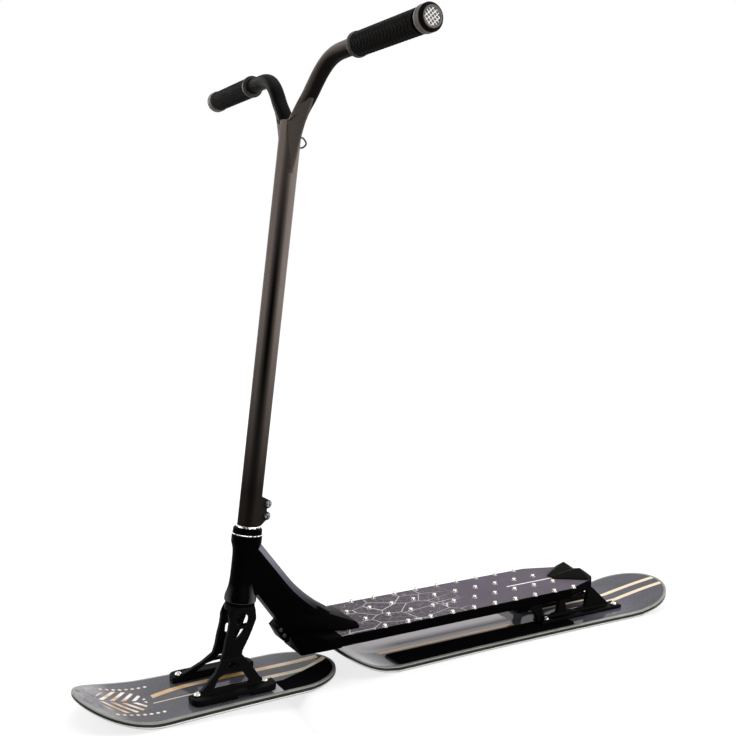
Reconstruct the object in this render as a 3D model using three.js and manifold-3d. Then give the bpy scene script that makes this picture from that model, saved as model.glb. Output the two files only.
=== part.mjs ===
// Snow scooter: a stunt scooter's frame and bars carried on two short skis.
// Millimetres, +X towards the ski noses, +Y to the rider's left, +Z up.
// Places along X are taken from the point where the steering axis meets the snow.

import * as THREE from 'three';
import { mergeVertices } from 'three/addons/utils/BufferGeometryUtils.js';
import Module from 'manifold-3d';

const wasm = await Module();
wasm.setup();

// Driving dimensions

const seatGap = 0.3;
const cutOverrun = 4;
const rakeAngle = THREE.MathUtils.degToRad(7.34);

// Skis
const skiThickness = 9;
const skiTipThickness = 6;
const skiNosePower = 1.85;
const skiTailPower = 1.2;
const frontSki = {
  noseX: 224,
  tailX: -164,
  noseShoulder: 94,
  tailShoulder: 79,
  noseHalf: 76,
  waistHalf: 71.5,
  tailHalf: 70,
  noseRise: 35,
  noseRiseLength: 112,
  tailRise: 5,
  tailRiseLength: 64,
  noseSquareness: 2,
  tailSquareness: 2,
};
const rearSki = {
  noseX: -152,
  tailX: -838,
  noseShoulder: 66,
  tailShoulder: 80,
  noseHalf: 74,
  waistHalf: 72,
  tailHalf: 79,
  noseRise: 38,
  noseRiseLength: 98,
  tailRise: 29,
  tailRiseLength: 110,
  noseSquareness: 2.8,
  tailSquareness: 2,
};

// Deck
const deckTopZ = 70;
const deckThickness = 16.5;
const deckFrontX = -150;
const deckTailX = -656;
const deckHalfWidth = 65;
const deckTailHalfWidth = 43;
const deckTaperLength = 72;
const deckTailCorner = 10;
const studPitch = 40.8;
const studRowPitch = 40;
const studRowLead = 11;
const studFrontX = -231.5;
const studRows = 4;
const studsPerRow = 10;
const studRadius = 3.2;
const studTipRadius = 1.9;
const studHeight = 4.5;

// Deck nose, the chin that closes the front of the deck
const chinFrontX = -86;
const chinBottomFrontX = -100;
const chinBottomRearX = -126;
const chinBottomZ = 37.5;
const chinKeelHalf = 27;
const chinNoseHalf = 17;
const chinShoulderX = -114;
const chinShoulderHalf = 47;
const chinCornerX = -124;

// Head tube and headset, along the steering axis
const headTubeBase = 129.3;
const headTubeLength = 96.4;
const headTubeEndRadius = 22;
const headTubeLowerRadius = 23;
const headTubeWaistRadius = 18;
const headTubeCollar = 11;
const headTubeFlare = 24;
const steererRadius = 14.3;
const steererBoreRadius = 11.3;
const bearingOuterRadius = 20;
const bearingHeight = 6.5;
const sealRingHeight = 1.5;
const sealRingRadius = 22.4;
const capRadius = 21;
const capHeight = 8;
const spacerRadius = 17.2;
const spacerHeight = 2.9;

// Neck between head tube and deck
const neckHalfWidth = 16;
const neckThroatZ = 137;
const neckThroatReach = 20.4;
const neckFlareHalfWidth = 45;
const neckFlareX = -165;
const neckRearX = -188;
const neckFlareFrontX = -104;
const neckWingTopZ = 90;
const neckWingEdgeZ = 73;

// Lug bolted across the front of the neck
const lugTopX = -75.5;
const lugTopZ = 87.2;
const lugLength = 26;
const lugHalfWidth = 14;
const lugShares = [[0, 0], [0.34, -0.28], [-0.07, -1.02], [-0.3, -1.2], [-0.46, -1.15], [-0.5, -0.2]];
const lugBoltShares = [[0.085, -0.36], [-0.13, -0.72]];
const lugBoltSize = 0.7;

// Fork
const crownRadius = 22;
const crownHeight = 8;
const crownRaceHeight = 4;
const crownRaceRadius = 21.4;
const legInnerHalf = 12;
const legOuterHalf = 21;
const shoulderRadius = 29.5;
const shoulderDrop = 20;
const turnClear = 1.2;
const legKneeZ = 52;
const legReach = 130;
const legFrontShares = [
  [0.058, 0.95], [0.054, 0.80], [0.07, 0.708], [0.102, 0.6], [0.124, 0.49], [0.158, 0.395],
  [0.254, 0.292], [0.415, 0.185], [0.492, 0.141],
];
const legRearShares = [
  [-0.308, 0.141], [-0.238, 0.185], [-0.162, 0.323], [-0.123, 0.377], [-0.081, 0.431], [-0.092, 0.477],
  [-0.146, 0.569], [-0.208, 0.692], [-0.258, 0.808], [-0.285, 0.95],
];
const legWindowShares = [
  [[-0.108, 0.915], [-0.177, 0.823], [-0.165, 0.754], [-0.031, 0.754], [-0.023, 0.831]],
  [[-0.138, 0.715], [0.004, 0.715], [0.018, 0.63], [-0.018, 0.59], [-0.078, 0.64]],
  [[-0.008, 0.362], [-0.023, 0.319], [0.108, 0.319], [0.085, 0.362]],
  [[-0.115, 0.162], [-0.062, 0.262], [0.023, 0.285], [0.138, 0.281], [0.223, 0.254], [0.308, 0.162]],
];
const footArchRearX = -9;
const footArchFrontX = 12;
const footFrontX = 75;
const footRearX = -50;
const footInnerY = 33;
const footOuterY = 59;
const footHeight = 9;
const footBoltFrontX = 64.4;
const footBoltRearX = -36.4;
const footBoltY = 40;

// Handlebar
const steererProud = 8;
const topCapHeight = 3;
const starNutDepth = 26;
const starNutHeight = 5;
const starNutPetals = 6;
const petalShares = [[-0.16, 1], [0.16, 1], [0.5, 0.6]];
const barTubeRadius = 15.9;
const crotchHeight = 816;
const armRootHeight = 800;
const armRadius = 11.1;
const armBoreRadius = 9.1;
const barHalfWidth = 331;
const gripLineHeight = 893;
const gripBacksweep = 7;
const armShares = [
  [0.012, -0.182], [0.18, 0.182], [0.287, 0.39], [0.371, 0.584], [0.431, 0.714], [0.491, 0.818],
  [0.551, 0.896], [0.617, 0.952], [0.707, 0.991], [0.808, 1], [1, 1],
];
const gussetTipHeight = 743;
const gussetTopHeight = 841;
const gussetSpread = 60;
const gussetEdgeHalf = 2;
const gussetShares = [
  [0.27, 0], [0.333, 0.09], [0.417, 0.225], [0.5, 0.38], [0.658, 0.62], [0.867, 0.857], [1, 1],
];
const loopHeight = 790;
const loopRise = 7.5;
const loopShoulderShare = 0.85;
const loopProud = 10;
const loopWireRadius = 1.3;
const slotWidth = 2.4;
const slotLength = 46;
const clampTop = 281;
const clampBoltHeights = [253.8, 271.2];
const clampBossRadius = 6.3;
const clampBossReach = 23;
const clampHalfWidth = 9;

// Grips
const gripLength = 164;
const gripRadius = 15.6;
const gripFlangeRadius = 16.8;
const gripFlangeLength = 5;
const gripTaperLength = 4;
const collarRadius = 17;
const collarLength = 11;
const gripRibs = 9;
const gripRibHeight = 0.8;
const plugDepth = 18;
const plugFaceShare = 0.7;
const ribShares = [0.3, 0.45, 0.75, 0.9];

// Bolts
const boltShankRadius = 3;
const boltHeadRadius = 5.2;
const boltHeadHeight = 4.2;
const boltSocketRadius = 2;
const boltSocketDepth = 2.4;
const boltEngagement = 6.5;
const boltRimShare = 0.45;
const boltCrownShare = 0.62;
const socketSides = 6;

// Rear riser between deck and rear ski
const riserFootFrontX = -538;
const riserFootRearX = -716;
const riserTopFrontX = -516;
const riserTopRearX = -657;
const riserHeelX = -686;
const riserHeelZ = 27;
const riserFootInnerY = 20;
const riserFootOuterY = 46;
const riserFootHeight = 5.5;
const riserWebInnerY = 25;
const riserWebOuterY = 33;
const riserTopHeight = 5;
const riserBoltY = 39;
const riserBoltInset = 13;
const riserDeckBoltInset = 24;

// Heel stop on the tail
const stopFrontX = -592;
const stopPeakX = -639;
const stopRearX = -653;
const stopNoseHalf = 8.5;
const stopFootHalf = 42;
const stopRidgeHalf = 21;
const stopPeakZ = 86;
const stopValleyZ = 79.4;
const stopTailHalf = 36;
const stopRearZ = 77;
const stopLipHeight = 2.5;

// Facets
const roundSides = 32;
const tubeSides = 24;
const smallSides = 12;
const pipeSegments = 8;
const gripSides = 18;
const armSteps = 20;
const neckSteps = 14;
const tipSteps = 14;
const flatSteps = 3;
const weldTolerance = 1e-4;

// Finishes

function finish(color, roughness, metalness) {
  return new THREE.MeshStandardMaterial({ color, roughness, metalness });
}
const finishes = {
  barPaint: () => finish(0x2a2321, 0.42, 0.55),
  frameBlack: () => finish(0x101114, 0.4, 0.5),
  deckGrip: () => finish(0x5d5a66, 0.8, 0.1),
  skiTop: () => finish(0x6c6b7b, 0.25, 0.1),
  rubber: () => finish(0x17171a, 0.85, 0),
  steel: () => finish(0xc9cbd0, 0.25, 1),
  darkSteel: () => finish(0x3a3b40, 0.4, 0.9),
  collarGrey: () => finish(0x55565c, 0.45, 0.8),
};

// Solids: closed geometries joined and cut

function solid(geometry) {
  const bare = geometry.clone();
  bare.deleteAttribute('normal');
  bare.deleteAttribute('uv');
  const welded = mergeVertices(bare, weldTolerance);
  const corners = welded.index.array;
  const kept = [];
  for (let i = 0; i < corners.length; i += 3) {
    const [a, b, c] = [corners[i], corners[i + 1], corners[i + 2]];
    if (a !== b && b !== c && c !== a) kept.push(a, b, c);
  }
  return new wasm.Manifold(new wasm.Mesh({
    numProp: 3,
    vertProperties: new Float32Array(welded.attributes.position.array),
    triVerts: new Uint32Array(kept),
  }));
}

function geometryOf(body) {
  const mesh = body.getMesh();
  const geometry = new THREE.BufferGeometry();
  geometry.setAttribute('position', new THREE.BufferAttribute(new Float32Array(mesh.vertProperties), 3));
  geometry.setIndex(new THREE.BufferAttribute(new Uint32Array(mesh.triVerts), 1));
  geometry.computeVertexNormals();
  return geometry;
}

function piece(name, body, material) {
  const geometry = body.isBufferGeometry ? body : geometryOf(body);
  const mesh = new THREE.Mesh(geometry, material());
  mesh.name = name;
  return mesh;
}

// Shapes

function outline(points) {
  const corners = points.map(([x, y]) => new THREE.Vector2(x, y));
  if (THREE.ShapeUtils.isClockWise(corners)) corners.reverse();
  return new THREE.Shape(corners);
}

// the left half of a plan and its reflection
function mirroredPlan(left) {
  return outline([...left, ...left.map(([x, y]) => [x, -y]).reverse()]);
}

// the left half of a front view and its reflection
function mirroredFront(left) {
  return outline([...left, ...left.map(([y, z]) => [-y, z]).reverse()]);
}

function prism(shape, depth, curveSegments = smallSides) {
  return new THREE.ExtrudeGeometry(shape, { depth, bevelEnabled: false, curveSegments });
}

// a side view drawn in X and Z, given its width from rightY to leftY
function sidePrism(shape, rightY, leftY) {
  return prism(shape, leftY - rightY).rotateX(Math.PI / 2).translate(0, leftY, 0);
}

// a side view pierced right through by windows
function piercedSide(shape, windows, reachY) {
  return windows.reduce(
    (rest, window) => rest.subtract(solid(sidePrism(outline(window), -2 * reachY, 2 * reachY))),
    solid(sidePrism(shape, -reachY, reachY)),
  );
}

// a front view drawn in Y and Z, given its length from rearX to frontX
function frontPrism(shape, rearX, frontX) {
  return prism(shape, frontX - rearX).rotateX(Math.PI / 2).rotateZ(Math.PI / 2).translate(rearX, 0, 0);
}

// a plan drawn in X and Y, given its height from bottomZ to topZ
function planPrism(shape, bottomZ, topZ) {
  return prism(shape, topZ - bottomZ).translate(0, 0, bottomZ);
}

// a profile of radius and height turned about the Z axis
function turned(points, sides = roundSides) {
  const closed = [...points, points[0]].map(([radius, height]) => new THREE.Vector2(radius, height));
  return new THREE.LatheGeometry(closed, sides).rotateX(Math.PI / 2);
}

function ring(innerRadius, outerRadius, bottom, top, sides = roundSides) {
  const wall = [[innerRadius, bottom], [outerRadius, bottom], [outerRadius, top], [innerRadius, top]];
  return turned(wall, sides);
}

function rod(radius, bottom, top, sides = roundSides) {
  return new THREE.CylinderGeometry(radius, radius, top - bottom, sides)
    .rotateX(Math.PI / 2).translate(0, 0, (bottom + top) / 2);
}

// a round bar lying across the scooter
function crossRod(radius, rightY, leftY, sides = smallSides) {
  const middleY = (leftY + rightY) / 2;
  return new THREE.CylinderGeometry(radius, radius, leftY - rightY, sides).translate(0, middleY, 0);
}

function box(lowX, highX, lowY, highY, lowZ, highZ) {
  return new THREE.BoxGeometry(highX - lowX, highY - lowY, highZ - lowZ)
    .translate((lowX + highX) / 2, (lowY + highY) / 2, (lowZ + highZ) / 2);
}

function circleShape(radius, boreRadius) {
  const shape = new THREE.Shape().absarc(0, 0, radius, 0, 2 * Math.PI, false);
  if (boreRadius) shape.holes.push(new THREE.Path().absarc(0, 0, boreRadius, 0, 2 * Math.PI, true));
  return shape;
}

function sweep(shape, curve, steps, sides) {
  const options = { extrudePath: curve, steps, curveSegments: sides, bevelEnabled: false };
  return new THREE.ExtrudeGeometry(shape, options);
}

function tilted(geometry) {
  return geometry.rotateY(-rakeAngle);
}

// how far back the steering axis lies at a height above the snow
function axisX(z) {
  return -z * Math.tan(rakeAngle);
}

// a closed skin through rings that have the same number of points
function lofted(rings) {
  const count = rings[0].length;
  const triangles = [];
  for (let i = 0; i + 1 < rings.length; i += 1) {
    for (let j = 0; j < count; j += 1) {
      const k = (j + 1) % count;
      const [low, high] = [rings[i], rings[i + 1]];
      triangles.push(low[j], high[k], high[j], low[j], low[k], high[k]);
    }
  }
  const [first, last] = [rings[0], rings[rings.length - 1]];
  for (let j = 1; j + 1 < count; j += 1) {
    triangles.push(first[0], first[j + 1], first[j], last[0], last[j], last[j + 1]);
  }
  const geometry = new THREE.BufferGeometry();
  geometry.setAttribute('position', new THREE.Float32BufferAttribute(triangles.flat(), 3));
  return geometry;
}

// Skis

// height of the base above the snow
function skiRise(ski, x) {
  const noseShare = Math.max(0, (x - ski.noseX + ski.noseRiseLength) / ski.noseRiseLength);
  const tailShare = Math.max(0, (ski.tailX + ski.tailRiseLength - x) / ski.tailRiseLength);
  return ski.noseRise * noseShare ** skiNosePower + ski.tailRise * tailShare ** skiTailPower;
}

// the core thins out over the curved nose and tail
function skiThicknessAt(ski, x) {
  const noseShare = Math.max(0, (x - ski.noseX + ski.noseRiseLength) / ski.noseRiseLength);
  const tailShare = Math.max(0, (ski.tailX + ski.tailRiseLength - x) / ski.tailRiseLength);
  return skiThickness - (skiThickness - skiTipThickness) * Math.max(noseShare, tailShare);
}

function skiStations(ski) {
  const stations = [];
  const noseStart = ski.noseX - ski.noseRiseLength;
  const tailEnd = ski.tailX + ski.tailRiseLength;
  for (let i = 0; i <= tipSteps; i += 1) stations.push(ski.tailX + (tailEnd - ski.tailX) * i / tipSteps);
  for (let i = 1; i < flatSteps; i += 1) stations.push(tailEnd + (noseStart - tailEnd) * i / flatSteps);
  for (let i = 0; i <= tipSteps; i += 1) stations.push(noseStart + (ski.noseX - noseStart) * i / tipSteps);
  return stations;
}

// one end of the plan: a rounded tip that starts where the sides stop
function tipCurve(shoulderX, tipX, half, squareness) {
  const points = [];
  for (let i = 0; i < tipSteps; i += 1) {
    const turn = (i / tipSteps) * Math.PI / 2;
    const along = Math.sin(turn) ** (2 / squareness);
    const across = Math.cos(turn) ** (2 / squareness);
    points.push([shoulderX + (tipX - shoulderX) * along, half * across]);
  }
  points.push([tipX, 0]);
  return points;
}

function skiPlan(ski) {
  const noseStart = ski.noseX - ski.noseShoulder;
  const tailStart = ski.tailX + ski.tailShoulder;
  const nose = tipCurve(noseStart, ski.noseX, ski.noseHalf, ski.noseSquareness);
  const tail = tipCurve(tailStart, ski.tailX, ski.tailHalf, ski.tailSquareness);
  const sideControl = 2 * ski.waistHalf - (ski.noseHalf + ski.tailHalf) / 2;
  const middleX = (noseStart + tailStart) / 2;
  const side = new THREE.QuadraticBezierCurve(
    new THREE.Vector2(...tail[0]),
    new THREE.Vector2(middleX, sideControl),
    new THREE.Vector2(...nose[0]),
  );
  const waist = side.getPoints(smallSides).slice(1, -1).map((p) => [p.x, p.y]);
  const left = [...tail.reverse(), ...waist, ...nose];
  const right = left.slice(1, -1).reverse().map(([x, y]) => [x, -y]);
  return outline([...left, ...right]);
}

function skiBody(ski) {
  const stations = skiStations(ski);
  const base = stations.map((x) => [x, skiRise(ski, x)]);
  const top = stations.map((x) => [x, skiRise(ski, x) + skiThicknessAt(ski, x)]).reverse();
  const bent = solid(sidePrism(outline([...base, ...top]), -2 * ski.noseHalf, 2 * ski.noseHalf));
  const highest = Math.max(ski.noseRise, ski.tailRise) + 2 * skiThickness;
  return bent.intersect(solid(planPrism(skiPlan(ski), -skiThickness, highest)));
}

// Bolts stand on seatZ with the shank down

function boltBody(seatZ, engagement) {
  const head = solid(turned([
    [0, seatZ], [boltHeadRadius, seatZ], [boltHeadRadius, seatZ + boltHeadHeight * boltRimShare],
    [boltHeadRadius * boltCrownShare, seatZ + boltHeadHeight], [0, seatZ + boltHeadHeight],
  ], smallSides));
  const shank = solid(rod(boltShankRadius, seatZ - engagement, seatZ + boltSocketDepth / 2, smallSides));
  const socketTop = seatZ + boltHeadHeight + cutOverrun;
  const socketFloor = seatZ + boltHeadHeight - boltSocketDepth;
  const socket = solid(rod(boltSocketRadius, socketFloor, socketTop, socketSides));
  return head.add(shank).subtract(socket);
}

// the hole that takes the shank, and the room its head needs above the seat
function boltHole(seatZ, engagement) {
  const shankRadius = boltShankRadius + seatGap;
  const headRadius = boltHeadRadius + 2 * seatGap;
  const seat = seatZ - seatGap;
  const top = seatZ + boltHeadHeight + cutOverrun;
  return turned([
    [0, seat - engagement], [shankRadius, seat - engagement], [shankRadius, seat], [headRadius, seat],
    [headRadius, top], [0, top],
  ], smallSides);
}

function bored(body, places, seatZ, engagement) {
  return places.reduce(
    (rest, [x, y]) => rest.subtract(solid(boltHole(seatZ, engagement).translate(x, y, 0))), body);
}

// Where the bolts stand

const footTopZ = skiThickness + seatGap + footHeight;
const footBoltSeat = footTopZ + seatGap;
const footBolts = [footBoltFrontX, footBoltRearX].flatMap((x) => [[x, footBoltY], [x, -footBoltY]]);
const footEngagement = footHeight + boltEngagement;
const riserFootTopZ = skiThickness + seatGap + riserFootHeight;
const riserBoltSeat = riserFootTopZ + seatGap;
const riserBoltXs = [riserFootFrontX - riserBoltInset, riserFootRearX + riserBoltInset];
const riserBolts = riserBoltXs.flatMap((x) => [[x, riserBoltY], [x, -riserBoltY]]);
const riserEngagement = riserFootHeight + boltEngagement;
const deckBottomZ = deckTopZ - deckThickness;
const riserTopZ = deckBottomZ - seatGap;
const riserDeckBolts = [riserTopFrontX - riserDeckBoltInset, riserTopRearX + riserDeckBoltInset];
const deckBoltSeat = riserTopZ - riserTopHeight - seatGap;
const deckEngagement = riserTopHeight + boltEngagement;

// Deck

function deckPlan() {
  return mirroredPlan([
    [deckFrontX, deckHalfWidth], [deckTailX + deckTaperLength, deckHalfWidth],
    [deckTailX + deckTailCorner, deckTailHalfWidth], [deckTailX, deckTailHalfWidth - deckTailCorner],
  ]);
}

// the front stud of the far row would stand on the neck's foot, so that row is one shorter
function studPlaces() {
  const places = [];
  for (let row = 0; row < studRows; row += 1) {
    const y = (row - (studRows - 1) / 2) * studRowPitch;
    const first = row === 0 ? 1 : 0;
    for (let i = first; i < studsPerRow; i += 1) {
      places.push([studFrontX + studPitch - i * studPitch - row * studRowLead, y]);
    }
  }
  return places;
}

function deckBody() {
  const chamfer = deckThickness / 5;
  const slab = solid(planPrism(deckPlan(), deckBottomZ, deckTopZ));
  const edge = mirroredFront([
    [deckHalfWidth - chamfer, deckBottomZ], [deckHalfWidth, deckBottomZ + chamfer], [deckHalfWidth, deckTopZ],
  ]);
  let body = slab.intersect(solid(frontPrism(edge, deckTailX - cutOverrun, deckFrontX + cutOverrun)));
  const sunk = deckTopZ - studHeight / 4;
  const stud = [
    [0, sunk], [studRadius, sunk], [studRadius, deckTopZ + studHeight / 2],
    [studTipRadius, deckTopZ + studHeight], [0, deckTopZ + studHeight],
  ];
  for (const [x, y] of studPlaces()) body = body.add(solid(turned(stud, smallSides / 2).translate(x, y, 0)));
  for (const x of riserDeckBolts) body = body.subtract(solid(deckBoltHole(x)));
  return body;
}

// the riser's bolts come up from below, so their holes hang head down
function deckBoltHole(x) {
  return boltHole(0, deckEngagement).rotateX(Math.PI).translate(x, 0, deckBoltSeat);
}

function deckNoseBody() {
  const rearX = deckFrontX + seatGap;
  const side = outline([
    [rearX, deckBottomZ], [chinBottomRearX, chinBottomZ], [chinBottomFrontX, chinBottomZ],
    [chinFrontX, deckTopZ], [rearX, deckTopZ],
  ]);
  const left = [
    [chinFrontX, chinNoseHalf], [chinShoulderX, chinShoulderHalf], [chinCornerX, deckHalfWidth],
    [rearX, deckHalfWidth],
  ];
  const keel = mirroredFront([
    [chinKeelHalf, chinBottomZ], [deckHalfWidth, deckBottomZ], [deckHalfWidth, deckTopZ],
  ]);
  return solid(sidePrism(side, -deckHalfWidth, deckHalfWidth))
    .intersect(solid(planPrism(mirroredPlan(left), chinBottomZ - cutOverrun, deckTopZ + cutOverrun)))
    .intersect(solid(frontPrism(keel, rearX - cutOverrun, chinFrontX + cutOverrun)));
}

// Head tube and headset, drawn upright on the steering axis

const headTubeTop = headTubeBase + headTubeLength;
const sealRingBase = headTubeTop + seatGap;
const capBase = sealRingBase + sealRingHeight + seatGap;
const spacerBase = capBase + capHeight + seatGap;
const barBase = spacerBase + spacerHeight + seatGap;
const boreClear = steererRadius + seatGap;

function headTubeBody() {
  const shoulder = headTubeBase + headTubeFlare;
  const collar = headTubeTop - headTubeCollar;
  const shell = [
    [boreClear, headTubeBase], [headTubeLowerRadius, headTubeBase],
    [headTubeLowerRadius, headTubeBase + headTubeCollar / 2],
    [(headTubeLowerRadius + headTubeWaistRadius) / 2, headTubeBase + headTubeFlare / 2],
    [headTubeWaistRadius, shoulder], [headTubeWaistRadius, collar - headTubeFlare / 2],
    [headTubeEndRadius, collar], [headTubeEndRadius, headTubeTop], [boreClear, headTubeTop],
  ];
  const seatRadius = bearingOuterRadius + seatGap;
  const seatDepth = bearingHeight + 2 * seatGap;
  return solid(turned(shell))
    .subtract(solid(rod(seatRadius, headTubeBase - cutOverrun, headTubeBase + seatDepth)))
    .subtract(solid(rod(seatRadius, headTubeTop - seatDepth, headTubeTop + cutOverrun)));
}

function bearing(bottom) {
  const groove = bearingHeight / 5;
  const middle = (boreClear + bearingOuterRadius) / 2;
  return turned([
    [boreClear, bottom], [bearingOuterRadius, bottom], [bearingOuterRadius, bottom + bearingHeight],
    [middle + groove, bottom + bearingHeight], [middle, bottom + bearingHeight - groove],
    [middle - groove, bottom + bearingHeight], [boreClear, bottom + bearingHeight],
  ], tubeSides);
}

function sealRingBody() {
  return solid(ring(boreClear, sealRingRadius, sealRingBase, sealRingBase + sealRingHeight));
}

function headsetCap() {
  const top = capBase + capHeight;
  return turned([
    [boreClear, capBase], [capRadius, capBase], [capRadius, top - capHeight / 4],
    [capRadius - capHeight / 4, top], [boreClear, top],
  ]);
}

// Neck

// centre of the rounded top, from the head tube down to the deck
function neckCurve() {
  const dropShares = [1, 0.70, 0.41, 0.20, 0.07];
  const reachShares = [0, 0.26, 0.52, 0.78, 1];
  const [topZ, lowZ] = [headTubeTop - headTubeCollar - cutOverrun, deckTopZ];
  const [frontX, rearX] = [axisX(topZ), deckFrontX];
  return new THREE.CatmullRomCurve3(dropShares.map((share, i) => new THREE.Vector3(
    frontX + (rearX - frontX) * reachShares[i], 0, lowZ + (topZ - lowZ) * share)));
}

const neckThroatX = axisX(neckThroatZ) - neckThroatReach;

function neckBody() {
  const spine = neckCurve();
  const floorZ = deckTopZ + seatGap;
  const top = spine.getPoints(neckSteps).map((p) => [p.x, p.z]);
  const back = top[top.length - 1];
  const web = outline([
    ...top, [back[0], floorZ], [chinFrontX, floorZ],
    [neckThroatX, neckThroatZ], [axisX(neckThroatZ), neckThroatZ],
  ]);
  const round = solid(sweep(circleShape(neckHalfWidth), spine, neckSteps, pipeSegments));
  const wingSide = outline([
    [neckFlareFrontX, floorZ], [neckFlareFrontX, neckWingTopZ], [deckFrontX, neckWingTopZ],
    [neckRearX, neckWingEdgeZ + cutOverrun], [neckRearX, floorZ],
  ]);
  const wingFront = mirroredFront([
    [neckFlareHalfWidth, floorZ], [neckFlareHalfWidth, neckWingEdgeZ], [neckHalfWidth, neckWingTopZ],
  ]);
  const wingPlan = mirroredPlan([
    [neckFlareFrontX, neckHalfWidth], [neckFlareX, neckFlareHalfWidth], [neckRearX, neckFlareHalfWidth],
  ]);
  const wings = solid(sidePrism(wingSide, -neckFlareHalfWidth, neckFlareHalfWidth))
    .intersect(solid(frontPrism(wingFront, neckRearX, neckFlareFrontX)))
    .intersect(solid(planPrism(wingPlan, deckTopZ, neckWingTopZ + cutOverrun)));
  const headClear = solid(tilted(turned([
    [0, 0], [shoulderRadius + turnClear, 0], [shoulderRadius + turnClear, headTubeBase],
    [headTubeLowerRadius + seatGap, headTubeBase],
    [headTubeLowerRadius + seatGap, headTubeBase + headTubeCollar / 2 + seatGap],
    [(headTubeLowerRadius + headTubeWaistRadius) / 2 + seatGap, headTubeBase + headTubeFlare / 2 + seatGap],
    [headTubeWaistRadius + seatGap, headTubeBase + headTubeFlare + seatGap],
    [headTubeWaistRadius + seatGap, headTubeTop - headTubeCollar - headTubeFlare / 2 - seatGap],
    [headTubeEndRadius + seatGap, headTubeTop - headTubeCollar - seatGap],
    [headTubeEndRadius + seatGap, 2 * headTubeTop], [0, 2 * headTubeTop],
  ])));
  const ahead = solid(tilted(box(0, 2 * headTubeTop, -headTubeTop, headTubeTop, 0, 2 * headTubeTop)));
  const below = solid(box(2 * deckTailX, -2 * deckTailX, -headTubeTop, headTubeTop, -headTubeTop, floorZ));
  return solid(sidePrism(web, -neckHalfWidth, neckHalfWidth)).add(round).add(wings)
    .subtract(headClear).subtract(ahead).subtract(below);
}

// Lug: a block that follows the front of the neck and nose, with two bolts across it

const onLug = ([along, up]) => [lugTopX + along * lugLength, lugTopZ + up * lugLength];
const lugBoltPlaces = lugBoltShares.map(onLug);

function lugBody() {
  const behind = outline([
    [neckThroatX + seatGap, neckThroatZ], [chinFrontX + seatGap, deckTopZ + seatGap],
    [chinBottomFrontX + seatGap, chinBottomZ], [deckFrontX, chinBottomZ], [deckFrontX, neckThroatZ],
  ]);
  const block = solid(sidePrism(outline(lugShares.map(onLug)), -lugHalfWidth, lugHalfWidth))
    .subtract(solid(sidePrism(behind, -2 * lugHalfWidth, 2 * lugHalfWidth)));
  const reach = 2 * lugHalfWidth;
  const holeRadius = lugBoltSize * boltShankRadius + seatGap;
  return lugBoltPlaces.reduce(
    (rest, [x, z]) => rest.subtract(solid(crossRod(holeRadius, -reach, reach).translate(x, 0, z))), block);
}

function lugBoltBody() {
  const bolt = geometryOf(boltBody(0, (2 * lugHalfWidth - seatGap) / lugBoltSize));
  const [turnedOut, out] = [-Math.PI / 2, lugHalfWidth + seatGap];
  return solid(bolt.scale(lugBoltSize, lugBoltSize, lugBoltSize).rotateX(turnedOut).translate(0, out, 0));
}

// Fork: the side view and the front view are cut through one another, so each leg
// runs straight down from the crown and spreads into a pierced A-frame over its foot

const crownTop = headTubeBase - 2 * seatGap - crownRaceHeight;
const archRoofZ = skiThickness + seatGap + footHeight / 2;

function legSide() {
  const scaled = (shares) => shares.map(([along, up]) => [along * legReach, up * legReach]);
  const side = outline([
    ...scaled(legFrontShares), [footFrontX, footTopZ], [footFrontX, skiThickness],
    [footRearX, skiThickness], [footRearX, footTopZ], ...scaled(legRearShares),
  ]);
  return piercedSide(side, legWindowShares.map(scaled), footOuterY);
}

// front view of one leg: straight down, then leaning out to the inner half of the foot
function legFront(hand) {
  const ankleY = footInnerY + legOuterHalf - legInnerHalf;
  return outline([
    [legInnerHalf, crownTop], [legOuterHalf, crownTop], [legOuterHalf, legKneeZ], [ankleY, footTopZ],
    [ankleY, skiThickness], [footInnerY, skiThickness], [footInnerY, footTopZ], [legInnerHalf, legKneeZ],
  ].map(([y, z]) => [hand * y, z]));
}

function footArch(reachY) {
  return solid(box(footArchRearX, footArchFrontX, -reachY, reachY, 0, archRoofZ));
}

function footBody(hand) {
  const radius = (footOuterY - footInnerY) / 2;
  const middleY = hand * (footOuterY + footInnerY) / 2;
  const pad = new THREE.Shape();
  pad.absarc(footFrontX - radius, middleY, radius, -Math.PI / 2, Math.PI / 2, false);
  pad.absarc(footRearX + radius, middleY, radius, Math.PI / 2, 3 * Math.PI / 2, false);
  return solid(planPrism(pad, skiThickness + seatGap, footTopZ)).subtract(footArch(2 * footOuterY));
}

function forkBody() {
  const side = legSide();
  const floor = solid(box(2 * footRearX, 2 * footFrontX, -footOuterY, footOuterY, 0, skiThickness + seatGap));
  const crown = solid(tilted(rod(crownRadius, crownTop - crownHeight, crownTop)));
  let body = crown;
  for (const hand of [1, -1]) {
    const leg = side.intersect(solid(frontPrism(legFront(hand), 2 * footRearX, 2 * footFrontX)));
    body = body.add(leg.subtract(floor).subtract(footArch(2 * footOuterY))).add(footBody(hand));
  }
  const envelope = solid(tilted(turned([
    [0, -crownTop], [crownTop, -crownTop], [crownTop, crownTop - 2 * shoulderDrop],
    [shoulderRadius, crownTop - shoulderDrop], [crownRadius, crownTop], [0, crownTop],
  ])));
  const bore = solid(tilted(rod(boreClear, crownTop - crownHeight - cutOverrun, crownTop + cutOverrun)));
  return bored(body.intersect(envelope).subtract(bore), footBolts, footBoltSeat, footEngagement);
}

// Steerer and what clamps it, upright on the steering axis

const steererTop = clampTop + steererProud;

function steererBody() {
  return solid(ring(steererBoreRadius, steererRadius, crownTop - crownHeight, steererTop, tubeSides));
}

function crownRaceBody() {
  const bottom = crownTop + seatGap;
  return solid(ring(boreClear, crownRaceRadius, bottom, bottom + crownRaceHeight, tubeSides));
}

function spacerBody() {
  return solid(ring(boreClear, spacerRadius, spacerBase, spacerBase + spacerHeight, tubeSides));
}

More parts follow.
